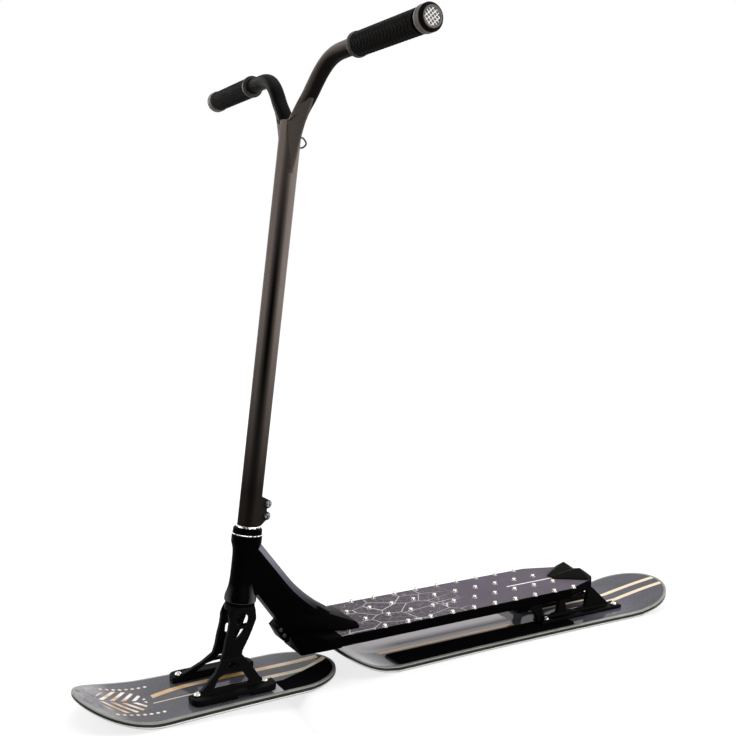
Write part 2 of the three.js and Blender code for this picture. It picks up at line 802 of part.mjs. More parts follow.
function topCapBody() {
  const bottom = steererTop + seatGap;
  return solid(ring(boltShankRadius + seatGap, steererRadius, bottom, bottom + topCapHeight, tubeSides));
}

function compressionBoltBody() {
  const seat = steererTop + seatGap + topCapHeight + seatGap;
  return boltBody(seat, starNutDepth + starNutHeight + topCapHeight);
}

function starNutBody() {
  const low = steererTop - starNutDepth - starNutHeight;
  const outer = steererBoreRadius - seatGap;
  const points = [];
  for (let i = 0; i < starNutPetals; i += 1) {
    for (const [turnShare, radiusShare] of petalShares) {
      const angle = (i + turnShare) * 2 * Math.PI / starNutPetals;
      points.push([outer * radiusShare * Math.cos(angle), outer * radiusShare * Math.sin(angle)]);
    }
  }
  const bore = rod(boltShankRadius + seatGap, low - cutOverrun, low + 2 * starNutHeight, smallSides);
  return solid(planPrism(outline(points), low, low + starNutHeight)).subtract(solid(bore));
}

// Handlebar

const gripInner = barHalfWidth - gripLength;

function armCurve(hand) {
  const climb = gripLineHeight - crotchHeight;
  const points = armShares.map(([out, up]) => new THREE.Vector3(
    -gripBacksweep / 2 * out, hand * out * gripInner, crotchHeight + climb * up));
  points.push(new THREE.Vector3(-gripBacksweep, hand * barHalfWidth, gripLineHeight));
  return new THREE.CatmullRomCurve3(points, false, 'centripetal');
}

function armBody(hand) {
  const reach = 2 * barHalfWidth;
  const arm = solid(sweep(circleShape(armRadius, armBoreRadius), armCurve(hand), armSteps, pipeSegments));
  const ownSide = box(-reach, reach, seatGap / 2, reach, 0, 2 * gripLineHeight);
  if (hand < 0) ownSide.rotateZ(Math.PI);
  const tubeClear = rod(barTubeRadius + seatGap, 0, crotchHeight + seatGap, tubeSides);
  return arm.intersect(solid(ownSide)).subtract(solid(tubeClear));
}

function clampOutline() {
  const [lowBolt, highBolt] = clampBoltHeights;
  const shape = new THREE.Shape();
  const reach = -clampBossReach;
  shape.moveTo(-barTubeRadius / 2, barBase + seatGap);
  shape.lineTo(-barTubeRadius / 2, clampTop);
  shape.lineTo(-barTubeRadius, clampTop);
  shape.lineTo(reach, highBolt + clampBossRadius);
  shape.absarc(reach, highBolt, clampBossRadius, Math.PI / 2, 3 * Math.PI / 2, false);
  shape.lineTo(reach, lowBolt + clampBossRadius);
  shape.absarc(reach, lowBolt, clampBossRadius, Math.PI / 2, 3 * Math.PI / 2, false);
  shape.lineTo(-barTubeRadius, barBase + seatGap);
  return shape;
}

function mainTubeBody() {
  const tube = solid(rod(barTubeRadius, barBase, crotchHeight, tubeSides));
  const lugs = solid(sidePrism(clampOutline(), -clampHalfWidth, clampHalfWidth));
  const bore = solid(rod(boreClear, barBase - cutOverrun, crotchHeight + cutOverrun, tubeSides));
  const reach = 2 * clampBossReach;
  const slotHalf = slotWidth / 2;
  const slot = solid(box(-reach, 0, -slotHalf, slotHalf, barBase - cutOverrun, barBase + slotLength));
  let body = tube.add(lugs).subtract(bore).subtract(slot);
  for (const height of clampBoltHeights) {
    const hole = crossRod(boltShankRadius + seatGap, -reach, reach).translate(-clampBossReach, 0, height);
    body = body.subtract(solid(hole));
  }
  return body;
}

function clampBoltBody(height) {
  const headSeat = clampHalfWidth + seatGap;
  const grip = 2 * clampHalfWidth + 2 * seatGap;
  const bolt = boltBody(0, grip);
  return solid(geometryOf(bolt).rotateX(-Math.PI / 2).translate(-clampBossReach, headSeat, height));
}

// the folded plate in the outer corner between an arm and the tube, a point at its foot
function gussetBody(hand) {
  const flankY = Math.sqrt(barTubeRadius ** 2 - armRadius ** 2);
  const rings = gussetShares.map(([out, up]) => {
    const height = gussetTipHeight + (gussetTopHeight - gussetTipHeight) * up;
    const rootY = Math.max(0, height - armRootHeight);
    const shoulderY = Math.max(flankY, rootY + flankY / 4);
    return [
      [armRadius, rootY], [armRadius, shoulderY], [gussetEdgeHalf, gussetSpread * out],
      [-gussetEdgeHalf, gussetSpread * out], [-armRadius, shoulderY], [-armRadius, rootY],
    ].map(([x, y]) => [x, hand * y, height]);
  });
  if (hand < 0) rings.reverse();
  const armClear = sweep(circleShape(armRadius + seatGap), armCurve(hand), armSteps, pipeSegments);
  const tubeClear = rod(barTubeRadius + seatGap, 0, crotchHeight + seatGap, tubeSides);
  return solid(lofted(rings)).subtract(solid(tubeClear)).subtract(solid(armClear));
}

function leashLoop() {
  const surface = -barTubeRadius - seatGap;
  const shoulderX = surface - loopProud / 2;
  const bend = (x, rise) => new THREE.Vector3(x, 0, loopHeight + rise);
  const path = new THREE.CatmullRomCurve3([
    bend(surface, loopRise), bend(shoulderX, loopRise * loopShoulderShare), bend(surface - loopProud, 0),
    bend(shoulderX, -loopRise * loopShoulderShare), bend(surface, -loopRise),
  ]);
  return sweep(circleShape(loopWireRadius), path, smallSides, pipeSegments / 2);
}

// Grips lie along Y and are drawn for the left hand with the inner end at zero

function gripBody() {
  const sleeve = armRadius + seatGap;
  const points = [
    [sleeve, 0], [gripRadius, 0], [gripFlangeRadius, gripTaperLength / 4],
    [gripFlangeRadius, gripFlangeLength], [gripRadius, gripFlangeLength + gripTaperLength],
  ];
  const start = gripFlangeLength + 2 * gripTaperLength;
  const end = gripLength - collarLength - gripFlangeLength - 2 * seatGap;
  const pitch = (end - start) / gripRibs;
  for (let i = 0; i < gripRibs; i += 1) {
    const from = start + i * pitch;
    const [out, down, up, back] = ribShares.map((share) => from + pitch * share);
    points.push([gripRadius, out], [gripRadius - gripRibHeight, down]);
    points.push([gripRadius - gripRibHeight, up], [gripRadius, back]);
  }
  points.push([gripRadius, end], [sleeve, end]);
  return turned(points, gripSides);
}

function collarBody() {
  const chamfer = collarLength / 8;
  return turned([
    [armRadius + seatGap, 0], [collarRadius - chamfer, 0], [collarRadius, chamfer],
    [collarRadius, collarLength - chamfer], [collarRadius - chamfer, collarLength],
    [armRadius + seatGap, collarLength],
  ], tubeSides);
}

// plug with a rim outside the bar end and a spigot inside it
function plugBody() {
  const spigot = armBoreRadius - seatGap;
  const face = gripFlangeLength * plugFaceShare;
  return turned([
    [0, -plugDepth], [spigot, -plugDepth], [spigot, seatGap], [collarRadius, seatGap], [collarRadius, face],
    [armRadius, gripFlangeLength], [spigot, gripFlangeLength], [spigot, face], [0, face],
  ], tubeSides);
}

// Rear riser: top plate, two pierced webs and two long feet in one casting

function riserSide() {
  const floorZ = skiThickness + seatGap;
  const side = outline([
    [riserTopFrontX, riserTopZ], [riserTopFrontX, riserTopZ - 2 * riserTopHeight],
    [riserFootFrontX, riserFootTopZ + riserFootHeight], [riserFootFrontX, floorZ], [riserFootRearX, floorZ],
    [riserFootRearX, riserFootTopZ], [riserHeelX - riserBoltInset, riserFootTopZ], [riserHeelX, riserHeelZ],
    [riserTopRearX, riserTopZ],
  ]);
  const low = riserFootTopZ + riserFootHeight;
  const high = riserTopZ - riserTopHeight;
  const postX = (riserTopFrontX + riserTopRearX) / 2 - riserTopHeight;
  const postHalf = 2 * riserTopHeight;
  const window = (frontX, rearX) => [
    [frontX, low], [frontX + riserTopHeight, high], [rearX - riserTopHeight, high], [rearX, low],
    [(frontX + rearX) / 2, low - riserFootHeight / 2],
  ];
  const windows = [
    window(riserFootFrontX - riserBoltInset, postX + postHalf),
    window(postX - postHalf, riserTopRearX + riserBoltInset),
  ];
  return piercedSide(side, windows, riserFootOuterY);
}

function riserFront() {
  const floorZ = skiThickness + seatGap;
  const plateZ = riserTopZ - riserTopHeight;
  return mirroredFront([
    [riserWebInnerY, plateZ], [riserWebInnerY, riserFootTopZ], [riserFootInnerY, riserFootTopZ],
    [riserFootInnerY, floorZ], [riserFootOuterY, floorZ], [riserFootOuterY, riserFootTopZ],
    [riserWebOuterY, riserFootTopZ], [riserWebOuterY, riserTopZ],
  ]);
}

function riserBody() {
  const front = solid(frontPrism(riserFront(), riserFootRearX, riserTopFrontX));
  const body = bored(riserSide().intersect(front), riserBolts, riserBoltSeat, riserEngagement);
  return riserDeckBolts.reduce((rest, x) => rest.subtract(solid(deckBoltHole(x))), body);
}

// Heel stop: a folded wedge that rises from a narrow front to two ridges

function heelStopBody() {
  const floorZ = deckTopZ + seatGap;
  const station = (x, footHalf, ridgeHalf, ridgeZ, valleyZ) => [
    [x, footHalf, floorZ], [x, footHalf, floorZ + stopLipHeight], [x, ridgeHalf, ridgeZ], [x, 0, valleyZ],
    [x, -ridgeHalf, ridgeZ], [x, -footHalf, floorZ + stopLipHeight], [x, -footHalf, floorZ],
  ];
  const frontZ = floorZ + stopLipHeight + seatGap;
  return lofted([
    station(stopRearX, stopTailHalf, stopRidgeHalf, stopRearZ, floorZ + stopLipHeight),
    station(stopPeakX, stopFootHalf, stopRidgeHalf, stopPeakZ, stopValleyZ),
    station(stopFrontX, stopNoseHalf, stopNoseHalf / 2, frontZ, floorZ + stopLipHeight),
  ]);
}

// Assembly

const scooter = new THREE.Group();
const frame = new THREE.Group();
const front = new THREE.Group();
const steering = new THREE.Group();
const headset = new THREE.Group();
steering.rotation.y = -rakeAngle;
headset.rotation.y = -rakeAngle;
scooter.add(frame, front, steering, headset);

frame.add(
  piece('deck', deckBody(), finishes.deckGrip),
  piece('deck_nose', deckNoseBody(), finishes.frameBlack),
  piece('neck', neckBody(), finishes.frameBlack),
  piece('neck_lug', lugBody(), finishes.frameBlack),
  piece('heel_stop', solid(heelStopBody()), finishes.rubber),
  piece('rear_riser', riserBody(), finishes.frameBlack),
  piece('rear_ski', bored(skiBody(rearSki), riserBolts, riserBoltSeat, riserEngagement), finishes.skiTop),
);

lugBoltPlaces.forEach(([x, z], i) => {
  const bolt = piece(`neck_lug_bolt_${i + 1}`, lugBoltBody(), finishes.darkSteel);
  bolt.position.set(x, 0, z);
  frame.add(bolt);
});

headset.add(
  piece('head_tube', headTubeBody(), finishes.frameBlack),
  piece('lower_bearing', solid(bearing(headTubeBase + seatGap)), finishes.darkSteel),
  piece('upper_bearing', solid(bearing(headTubeTop - seatGap - bearingHeight)), finishes.darkSteel),
  piece('headset_seal_ring', sealRingBody(), finishes.steel),
  piece('headset_cap', solid(headsetCap()), finishes.frameBlack),
);

riserBolts.forEach(([x, y], i) => {
  const bolt = piece(`riser_foot_bolt_${i + 1}`, boltBody(riserBoltSeat, riserEngagement), finishes.steel);
  bolt.position.set(x, y, 0);
  frame.add(bolt);
});
riserDeckBolts.forEach((x, i) => {
  const bolt = piece(`riser_deck_bolt_${i + 1}`, boltBody(0, deckEngagement), finishes.darkSteel);
  bolt.position.set(x, 0, deckBoltSeat);
  bolt.rotation.x = Math.PI;
  frame.add(bolt);
});

front.add(
  piece('fork', forkBody(), finishes.frameBlack),
  piece('front_ski', bored(skiBody(frontSki), footBolts, footBoltSeat, footEngagement), finishes.skiTop),
);
footBolts.forEach(([x, y], i) => {
  const bolt = piece(`fork_foot_bolt_${i + 1}`, boltBody(footBoltSeat, footEngagement), finishes.steel);
  bolt.position.set(x, y, 0);
  front.add(bolt);
});

steering.add(
  piece('steerer', steererBody(), finishes.darkSteel),
  piece('crown_race', crownRaceBody(), finishes.frameBlack),
  piece('bar_spacer', spacerBody(), finishes.steel),
  piece('steerer_top_cap', topCapBody(), finishes.darkSteel),
  piece('compression_bolt', compressionBoltBody(), finishes.darkSteel),
  piece('star_nut', starNutBody(), finishes.steel),
  piece('main_tube', mainTubeBody(), finishes.barPaint),
  piece('leash_loop', solid(leashLoop()), finishes.darkSteel),
);
clampBoltHeights.forEach((height, i) => {
  steering.add(piece(`clamp_bolt_${i + 1}`, clampBoltBody(height), finishes.steel));
});

for (const [side, hand] of [['left', 1], ['right', -1]]) {
  steering.add(
    piece(`arm_${side}`, armBody(hand), finishes.barPaint),
    piece(`gusset_${side}`, gussetBody(hand), finishes.barPaint),
  );
  const bar = new THREE.Group();
  const sweepAngle = Math.atan2(gripBacksweep / 2, gripLength);
  bar.position.set(-gripBacksweep / 2, hand * gripInner, gripLineHeight);
  bar.rotation.z = hand * sweepAngle;
  const lying = (name, geometry, from, material) => {
    const turnedOut = geometry.rotateX(-hand * Math.PI / 2);
    const mesh = piece(name, solid(turnedOut), material);
    mesh.position.y = hand * from;
    bar.add(mesh);
  };
  const collarFrom = gripLength - collarLength - seatGap;
  lying(`grip_${side}`, gripBody(), 0, finishes.rubber);
  lying(`grip_collar_${side}`, collarBody(), collarFrom, finishes.collarGrey);
  lying(`bar_end_plug_${side}`, plugBody(), gripLength, finishes.rubber);
  steering.add(bar);
}

// The origin is under the middle of the whole length, on the snow
scooter.position.x = -(frontSki.noseX + rearSki.tailX) / 2;

export default scooter;
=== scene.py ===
import math
import bmesh
import bpy
from mathutils import Matrix, Vector


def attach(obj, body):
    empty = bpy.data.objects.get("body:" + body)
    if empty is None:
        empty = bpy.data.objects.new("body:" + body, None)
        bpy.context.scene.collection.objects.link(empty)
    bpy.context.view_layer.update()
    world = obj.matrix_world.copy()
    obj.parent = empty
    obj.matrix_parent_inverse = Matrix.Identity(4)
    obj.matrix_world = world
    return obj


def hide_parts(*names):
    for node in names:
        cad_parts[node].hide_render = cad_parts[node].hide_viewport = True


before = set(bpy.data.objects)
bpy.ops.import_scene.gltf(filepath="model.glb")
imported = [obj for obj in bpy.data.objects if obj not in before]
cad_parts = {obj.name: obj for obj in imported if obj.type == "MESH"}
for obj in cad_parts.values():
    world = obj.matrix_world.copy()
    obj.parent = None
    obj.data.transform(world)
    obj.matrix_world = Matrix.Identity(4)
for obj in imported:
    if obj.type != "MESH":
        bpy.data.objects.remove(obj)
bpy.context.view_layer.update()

# Camera
# A long-lens view from ahead and to the rider's left, a little above the snow, with
# the lens and place worked out from the photograph's own perspective.
mm = 0.001
AHEAD = 307 * mm
camera_dip, camera_heading = 5.82, -119.62
lens = bpy.data.cameras.new("studio_camera")
lens.lens = 48.29
lens.sensor_width = 36
lens.clip_end = 60
camera = bpy.data.objects.new("studio_camera", lens)
camera.location = (0.5055 + AHEAD, 1.2911, 0.6048)
camera.rotation_euler = (math.radians(90 - camera_dip), 0, math.radians(camera_heading - 90))
bpy.context.collection.objects.link(camera)
bpy.context.scene.camera = camera
bpy.context.scene.view_settings.view_transform = "Standard"


# Studio
# White air and six soft lamps: a broad one above, four round the sides and back that
# draw the long highlights on the tubes, and a low wide one that skims over the skis.
class Wire:
    """A shader socket that can stand in a sum."""

    def __init__(self, owner, socket):
        self.owner, self.socket = owner, socket

    def maths(self, operation, *values):
        return self.owner.node("ShaderNodeMath", {"operation": operation}, dict(enumerate(values)))

    def __add__(self, other):
        return self.maths("ADD", self, other)

    def __radd__(self, other):
        return self.maths("ADD", other, self)

    def __sub__(self, other):
        return self.maths("SUBTRACT", self, other)

    def __rsub__(self, other):
        return self.maths("SUBTRACT", other, self)

    def __mul__(self, other):
        return self.maths("MULTIPLY", self, other)

    def __rmul__(self, other):
        return self.maths("MULTIPLY", other, self)

    def __truediv__(self, other):
        return self.maths("DIVIDE", self, other)

    def __abs__(self):
        return self.maths("ABSOLUTE", self)

    def root(self):
        return self.maths("SQRT", self)

    def fraction(self):
        return self.maths("FRACT", self)

    def sine(self):
        return self.maths("SINE", self)

    def larger(self, other):
        return self.maths("MAXIMUM", self, other)

    def smaller(self, other):
        return self.maths("MINIMUM", self, other)

    def over(self, edge, softness):
        """0 below the edge and 1 above it, with a ramp as wide as the softness."""
        return ((self - edge) / softness + 0.5).larger(0).smaller(1)


class Nodes:
    """A node tree and the shader that it feeds."""

    def __init__(self, tree, shader):
        self.tree, self.shader = tree, tree.nodes[shader]

    def node(self, kind, settings=None, sockets=None, out=0):
        made = self.tree.nodes.new(kind)
        for name, value in (settings or {}).items():
            setattr(made, name, value)
        for key, value in (sockets or {}).items():
            if isinstance(value, Wire):
                self.tree.links.new(value.socket, made.inputs[key])
            else:
                made.inputs[key].default_value = value
        return Wire(self, made.outputs[out])

    def feed(self, socket, wire):
        self.tree.links.new(wire.socket, self.shader.inputs[socket])

    def seen(self):
        """1 where a surface is seen, straight, in a polish or through glass, and 0 where it only lights."""
        straight, in_polish, through_glass = (
            self.node("ShaderNodeLightPath", out=f"Is {ray} Ray")
            for ray in ("Camera", "Glossy", "Transmission"))
        return straight.larger(in_polish).larger(through_glass)


class Finish(Nodes):
    """One surface finish, built as a node tree on a Principled shader."""

    def __init__(self, name, **values):
        self.material = bpy.data.materials.new(name)
        self.material.use_nodes = True
        super().__init__(self.material.node_tree, "Principled BSDF")
        for socket, value in values.items():
            self.shader.inputs[socket.replace("_", " ")].default_value = value
        self.place = self.node("ShaderNodeTexCoord", out="Object")
        self.x, self.y, self.z = (
            self.node("ShaderNodeSeparateXYZ", {}, {0: self.place}, axis) for axis in range(3))

    def noise(self, scale, detail=3, roughness=0.55, stretch=(1, 1, 1)):
        place = self.node("ShaderNodeMapping", {}, {"Vector": self.place, "Scale": stretch})
        values = {"Vector": place, "Scale": scale, "Detail": detail, "Roughness": roughness}
        return self.node("ShaderNodeTexNoise", {}, values)

    def turned_away(self):
        """0 where the surface is faced, and 1 where it is seen edge on."""
        return self.node("ShaderNodeLayerWeight", {}, {"Blend": 0.5}, "Facing")

    def blend(self, mask, under, over):
        return self.node("ShaderNodeMix", {"data_type": "RGBA"}, {0: mask, 6: under, 7: over}, 2)

    def bump(self, height, distance, strength=1.0):
        values = {"Height": height, "Distance": distance, "Strength": strength}
        self.feed("Normal", self.node("ShaderNodeBump", {}, values))


def flat_shade(brightness, tint=(1, 1, 1)):
    return (brightness * tint[0], brightness * tint[1], brightness * tint[2], 1)


world = bpy.data.worlds.new("studio_air")
world.use_nodes = True
bpy.context.scene.world = world
air = Nodes(world.node_tree, "Background")
air.shader.inputs["Color"].default_value = flat_shade(1)
air.feed("Strength", 0.1 + air.seen() * 0.9)


def soft_lamp(name, place, aim, size, watts):
    light = bpy.data.lights.new(name, "AREA")
    light.shape = "RECTANGLE"
    light.size, light.size_y = size
    light.energy = watts
    lamp = bpy.data.objects.new(name, light)
    lamp.location = place
    lamp.rotation_euler = (Vector(aim) - Vector(place)).to_track_quat("-Z", "Y").to_euler()
    bpy.context.collection.objects.link(lamp)


soft_lamp("overhead_lamp", (-0.2, -0.3, 2.8), (0, 0, 0.2), (2.4, 2.0), 48)
soft_lamp("left_lamp", (2.3, -0.9, 1.2), (0.2, 0, 0.4), (1.4, 1.7), 24)
soft_lamp("right_lamp", (-1.9, 1.5, 1.3), (0, 0, 0.5), (1.4, 1.8), 35)
soft_lamp("rear_left_lamp", (0.9, -2.5, 1.3), (0.1, 0, 0.5), (1.6, 1.8), 30)
soft_lamp("rear_right_lamp", (-2.5, -0.7, 1.3), (0, 0, 0.5), (1.6, 1.8), 30)
soft_lamp("ski_lamp", (0.1, 2.7, 0.45), (0, 0, 0.02), (2.8, 0.6), 46)


# Skis
# Two short sandwich skis: a black base with steel edges let into it, a dark sidewall
# and a glossy printed topsheet that is rolled down over the rim, where its lacquer is
# painted pale grey as a highlight. The print is two long peach stripes on slate, with a
# black panel along the rider's left side. Both noses carry a painted sheen, and the rear
# ski's pale field is partly print and partly painted reflection.
def skin(build, rings, closed=False, slots=()):
    """Joins each ring of points to the next by a band of faces, each band in its own slot."""
    for band, (lower, upper) in enumerate(zip(rings, rings[1:] + (rings[:1] if closed else []))):
        steps = max(len(lower), len(upper))
        for i in range(steps):
            j = (i + 1) % steps
            corners = [lower[i % len(lower)], lower[j % len(lower)],
                       upper[j % len(upper)], upper[i % len(upper)]]
            face = build.faces.new(list(dict.fromkeys(corners)))
            face.material_index = slots[band] if band < len(slots) else 0


def finished(build, name, crease):
    """The built mesh, smooth but for the edges that fold by more than the crease, in degrees."""
    bmesh.ops.recalc_face_normals(build, faces=build.faces)
    made = bpy.data.meshes.new(name)
    build.to_mesh(made)
    build.free()
    if crease:
        made.shade_smooth()
        made.set_sharp_from_angle(angle=math.radians(crease))
    return made


def on_show(mesh, finishes, body, slot, *nodes):
    """Puts a mesh in the scene in its finishes, riding on its body in place of its CAD nodes."""
    for finish in finishes:
        mesh.materials.append(finish.material)
    piece = bpy.data.objects.new(mesh.name, mesh)
    bpy.context.collection.objects.link(piece)
    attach(piece, body)
    if nodes:
        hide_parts(*nodes)
    return piece


class Ski:
    """A ski's plan and side view. An end is its place, shoulder, half width, rise and the length that rises."""

    middle_thickness, tip_thinning = 9, 3
    across = 8

    def __init__(self, node, body, nose, tail, waist_half, nose_square):
        self.node, self.body, self.nose_square = node, body, nose_square
        self.nose_x, nose_shoulder, self.nose_half, self.nose_rise, self.nose_length = (v * mm for v in nose)
        self.tail_x, tail_shoulder, self.tail_half, self.tail_rise, self.tail_length = (v * mm for v in tail)
        self.nose_start, self.tail_start = self.nose_x - nose_shoulder, self.tail_x + tail_shoulder
        self.waist_half = waist_half * mm

    def shares(self, x):
        nose = max(0, (x - self.nose_x + self.nose_length) / self.nose_length)
        tail = max(0, (self.tail_x + self.tail_length - x) / self.tail_length)
        return nose, tail

    def rise(self, x):
        nose, tail = self.shares(x)
        return self.nose_rise * nose ** 1.85 + self.tail_rise * tail ** 1.2

    def thickness(self, x):
        return (self.middle_thickness - self.tip_thinning * min(1, max(self.shares(x)))) * mm

    def rim(self, tip_steps=26, side_steps=24):
        """Left half of the plan, tail to nose, as points with their inward directions."""
        turns = [math.pi / 2 * i / tip_steps for i in range(tip_steps + 1)]
        tail = [(self.tail_start + (self.tail_x - self.tail_start) * math.sin(t),
                 self.tail_half * math.cos(t)) for t in reversed(turns)]
        power = 2 / self.nose_square
        nose = [(self.nose_start + (self.nose_x - self.nose_start) * math.sin(t) ** power,
                 self.nose_half * max(0, math.cos(t)) ** power) for t in turns]
        control = 2 * self.waist_half - (self.nose_half + self.tail_half) / 2
        side = []
        for i in range(1, side_steps):
            t = i / side_steps
            side.append((self.tail_start + (self.nose_start - self.tail_start) * t,
                         (1 - t) ** 2 * self.tail_half + 2 * t * (1 - t) * control + t * t * self.nose_half))
        points = [Vector(p) for p in tail + side + nose]
        rim = []
        for i, point in enumerate(points):
            before = points[i - 1] if i else Vector((point.x, -points[1].y))
            after = points[i + 1] if i + 1 < len(points) else Vector((point.x, -points[-2].y))
            along = (after - before).normalized()
            rim.append((point, Vector((along.y, -along.x))))
        return rim

    def ring(self, build, rim, inset, share):
        """The rim's points all round, set in from the plan and up by a share of the thickness."""
        left = []
        for point, inward in rim:
            at = point + inward * inset * mm
            left.append(Vector((at.x, max(0, at.y), self.rise(at.x) + share * self.thickness(at.x))))
        left[0].y = left[-1].y = 0
        ring = [build.verts.new((v.x + AHEAD, v.y, v.z)) for v in left]
        return ring + [build.verts.new((v.x + AHEAD, -v.y, v.z)) for v in left[-2:0:-1]]

    def sheet(self, build, ring, last, slot):
        """Fills a ring with rows of faces, each row straight across the ski."""
        rows = []
        for left, right in zip(ring[1:last], ring[:last:-1]):
            middle = [build.verts.new(left.co.lerp(right.co, step / self.across))
                      for step in range(1, self.across)]
            rows.append([left] + middle + [right])
        for row, after in zip(rows, rows[1:]):
            for k in range(self.across):
                build.faces.new((row[k], after[k], after[k + 1], row[k + 1])).material_index = slot
        for tip, row in ((ring[0], rows[0]), (ring[last], rows[-1])):
            for k in range(self.across):
                build.faces.new((tip, row[k], row[k + 1])).material_index = slot

    def mesh(self):
        """Rings of points round the rim, from the base over the edge to the topsheet, then both faces."""
        base, edge, wall, top, lacquer = range(5)
        sections = [(0.9, 0, base), (0.15, 0.08, base), (0, 0.28, edge), (0.35, 0.31, edge), (0.35, 0.8, wall),
                    (0.7, 0.92, lacquer), (1.6, 0.985, lacquer), (5.2, 1, lacquer), (6.4, 1, top)]
        build = bmesh.new()
        rim = self.rim()
        rings = [self.ring(build, rim, inset, share) for inset, share, _ in sections]
        skin(build, rings, slots=[slot for _, _, slot in sections[1:]])
        self.sheet(build, rings[0], len(rim) - 1, base)
        self.sheet(build, rings[-1], len(rim) - 1, top)
        return finished(build, f"{self.node}_sandwich", 50)


slate = flat_shade(0.085, (0.94, 0.9, 1.16))
slate_dark = flat_shade(0.038, (0.95, 0.92, 1.13))
peach = (0.5, 0.28, 0.08, 1)
cream = (0.82, 0.68, 0.5, 1)
ink = (0.004, 0.004, 0.005, 1)
lilac_white = (0.6, 0.57, 0.62, 1)


def line_mask(offset, half_width, softness=0.5 * mm):
    return 1 - abs(offset).over(half_width, softness)


def between(x, start, end, softness=1 * mm):
    return x.over(start, softness) * (1 - x.over(end, softness))


def topsheet(name, stripes, panel, extras):
    """A glossy print on slate under a clear coat, with faint flow marks and scuffs."""
    sheet = Finish(name, Specular_IOR_Level=0, Coat_Roughness=0.08, Coat_IOR=1.6)
    x, y = sheet.x - AHEAD, sheet.y
    cloud = sheet.noise(7, 3, 0.6, (1, 3, 1))
    ground = sheet.blend(cloud.over(0.5, 0.5), slate, slate_dark)
    grain = sheet.noise(900, 2, 0.5, (0.4, 1, 1))
    colour = sheet.blend((grain - 0.35) * 0.25, ground, lilac_white)
    for course, half_width, paint, start, end in stripes:
        fade = sheet.blend(sheet.noise(16, 2).over(0.5, 0.4), paint, cream)
        colour = sheet.blend(line_mask(y - course(x), half_width) * between(x, start, end), colour, fade)
    black = panel(x, y)
    sheet.feed("Base Color", extras(sheet, x, y, sheet.blend(black, colour, ink)))
    sheet.feed("Coat Weight", (1 - black) * 0.55)
    scuffs = sheet.noise(160, 5, 0.7, (0.15, 1, 1))
    sheet.feed("Roughness", 0.26 + scuffs * 0.2)
    sheet.bump(sheet.noise(60, 4, 0.5) + scuffs * 0.2, 0.12 * mm, 0.5)
    return sheet


def bent_course(level, bend, from_x, span):
    """A stripe's middle line, which leaves its level beyond from_x, or before it where the span is negative."""
    def course(x):
        beyond = ((x - from_x) / span).larger(0)
        return level + bend * beyond * beyond
    return course


def rounded_panel(x, y, front_x, rear_x, inner_y, outer_y, corner):
    """A long panel with rounded ends, given in the plan."""
    mid_x, mid_y = (front_x + rear_x) / 2, (inner_y + outer_y) / 2
    along = (abs(x - mid_x) - (abs(front_x - rear_x) / 2 - corner)).larger(0)
    across = (abs(y - mid_y) - (abs(outer_y - inner_y) / 2 - corner)).larger(0)
    return 1 - (along * along + across * across).root().over(corner, 0.5 * mm)


def front_panel(x, y):
    boundary = 30 * mm - 24 * mm * ((-70 * mm - x) / (60 * mm)).larger(0)
    return (1 - x.over(-56 * mm, 0.6 * mm)) * y.over(boundary, 0.6 * mm)


def rear_panel(x, y):
    return rounded_panel(x, y, -238 * mm, -596 * mm, 22 * mm, 69 * mm, 17 * mm)


def front_extras(sheet, x, y, colour):
    """Nested peach chevrons and pale diamonds over the nose, a patchy painted sheen over its tip, and a pale
    end to the black panel.
    """
    patch_x, patch_radius, chevron_pitch, diamond_pitch = 158 * mm, 34 * mm, 15 * mm, 9 * mm
    out_x = x - patch_x
    patch = 1 - (out_x * out_x + y * y * 0.8).over(patch_radius ** 2, 60e-6)
    bands = abs(((out_x + abs(y) * 0.75) / chevron_pitch).fraction() - 0.5)
    chevrons = bands.over(0.29, 0.05) * patch * abs(y).over(3 * mm, 0.6 * mm)
    cell = abs((x / diamond_pitch).fraction() - 0.5)
    row = abs(abs(y) - 45 * mm) / diamond_pitch
    diamonds = (1 - (cell + row).over(0.36, 0.06)) * between(x, 110 * mm, 182 * mm)
    shade = sheet.blend(sheet.noise(30, 3).over(0.44, 0.25), peach, (0.9, 0.82, 0.76, 1))
    # A patchy painted sheen, paler over the tip.
    nose_sheen = x.over(192 * mm, 60 * mm) * sheet.noise(14, 5, 0.7).over(0.45, 0.3)
    colour = sheet.blend(nose_sheen * 0.75, colour, (0.85, 0.81, 0.82, 1))
    colour = sheet.blend(chevrons.larger(diamonds), colour, shade)
    pale = between(x, -55 * mm, -40 * mm, 0.6 * mm) * y.over(34 * mm, 0.6 * mm)
    return sheet.blend(pale * 0.7, colour, lilac_white)


def rear_extras(sheet, x, y, colour):
    """A pale field that is partly print and partly painted reflection, with a dark band along its far part, a
    painted sheen on the nose, and a broad peach stripe between the deck's shadow and the black band.
    """
    # The pale field is partly print and partly a painted reflection.
    field = rounded_panel(x, y, -150 * mm, -507 * mm, -52 * mm, 11 * mm, 9 * mm)
    # The pale nose is a painted sheen.
    nose = x.over(-216 * mm, 60 * mm)
    pale = sheet.blend((field * 0.9).larger(nose * 0.9), colour, (0.97, 0.92, 0.96, 1))
    # A dark violet band down the field's far part, towards the tail.
    far_dark_band = line_mask(y + 5 * mm, 9 * mm, 16 * mm) * (1 - x.over(-250 * mm, 70 * mm)) * field
    pale = sheet.blend(far_dark_band * 0.9, pale, (0.06, 0.048, 0.07, 1))
    stripe_run = (1 - x.over(-238 * mm, 8 * mm)) * x.over(-500 * mm, 2 * mm)
    stripe = line_mask(y - 14 * mm, 6 * mm, 1.5 * mm) * stripe_run
    tint = sheet.blend(abs(y - 13.5 * mm).over(3.2 * mm, 4 * mm), (0.97, 0.84, 0.72, 1), (0.6, 0.24, 0.05, 1))
    return sheet.blend(stripe, pale, tint)


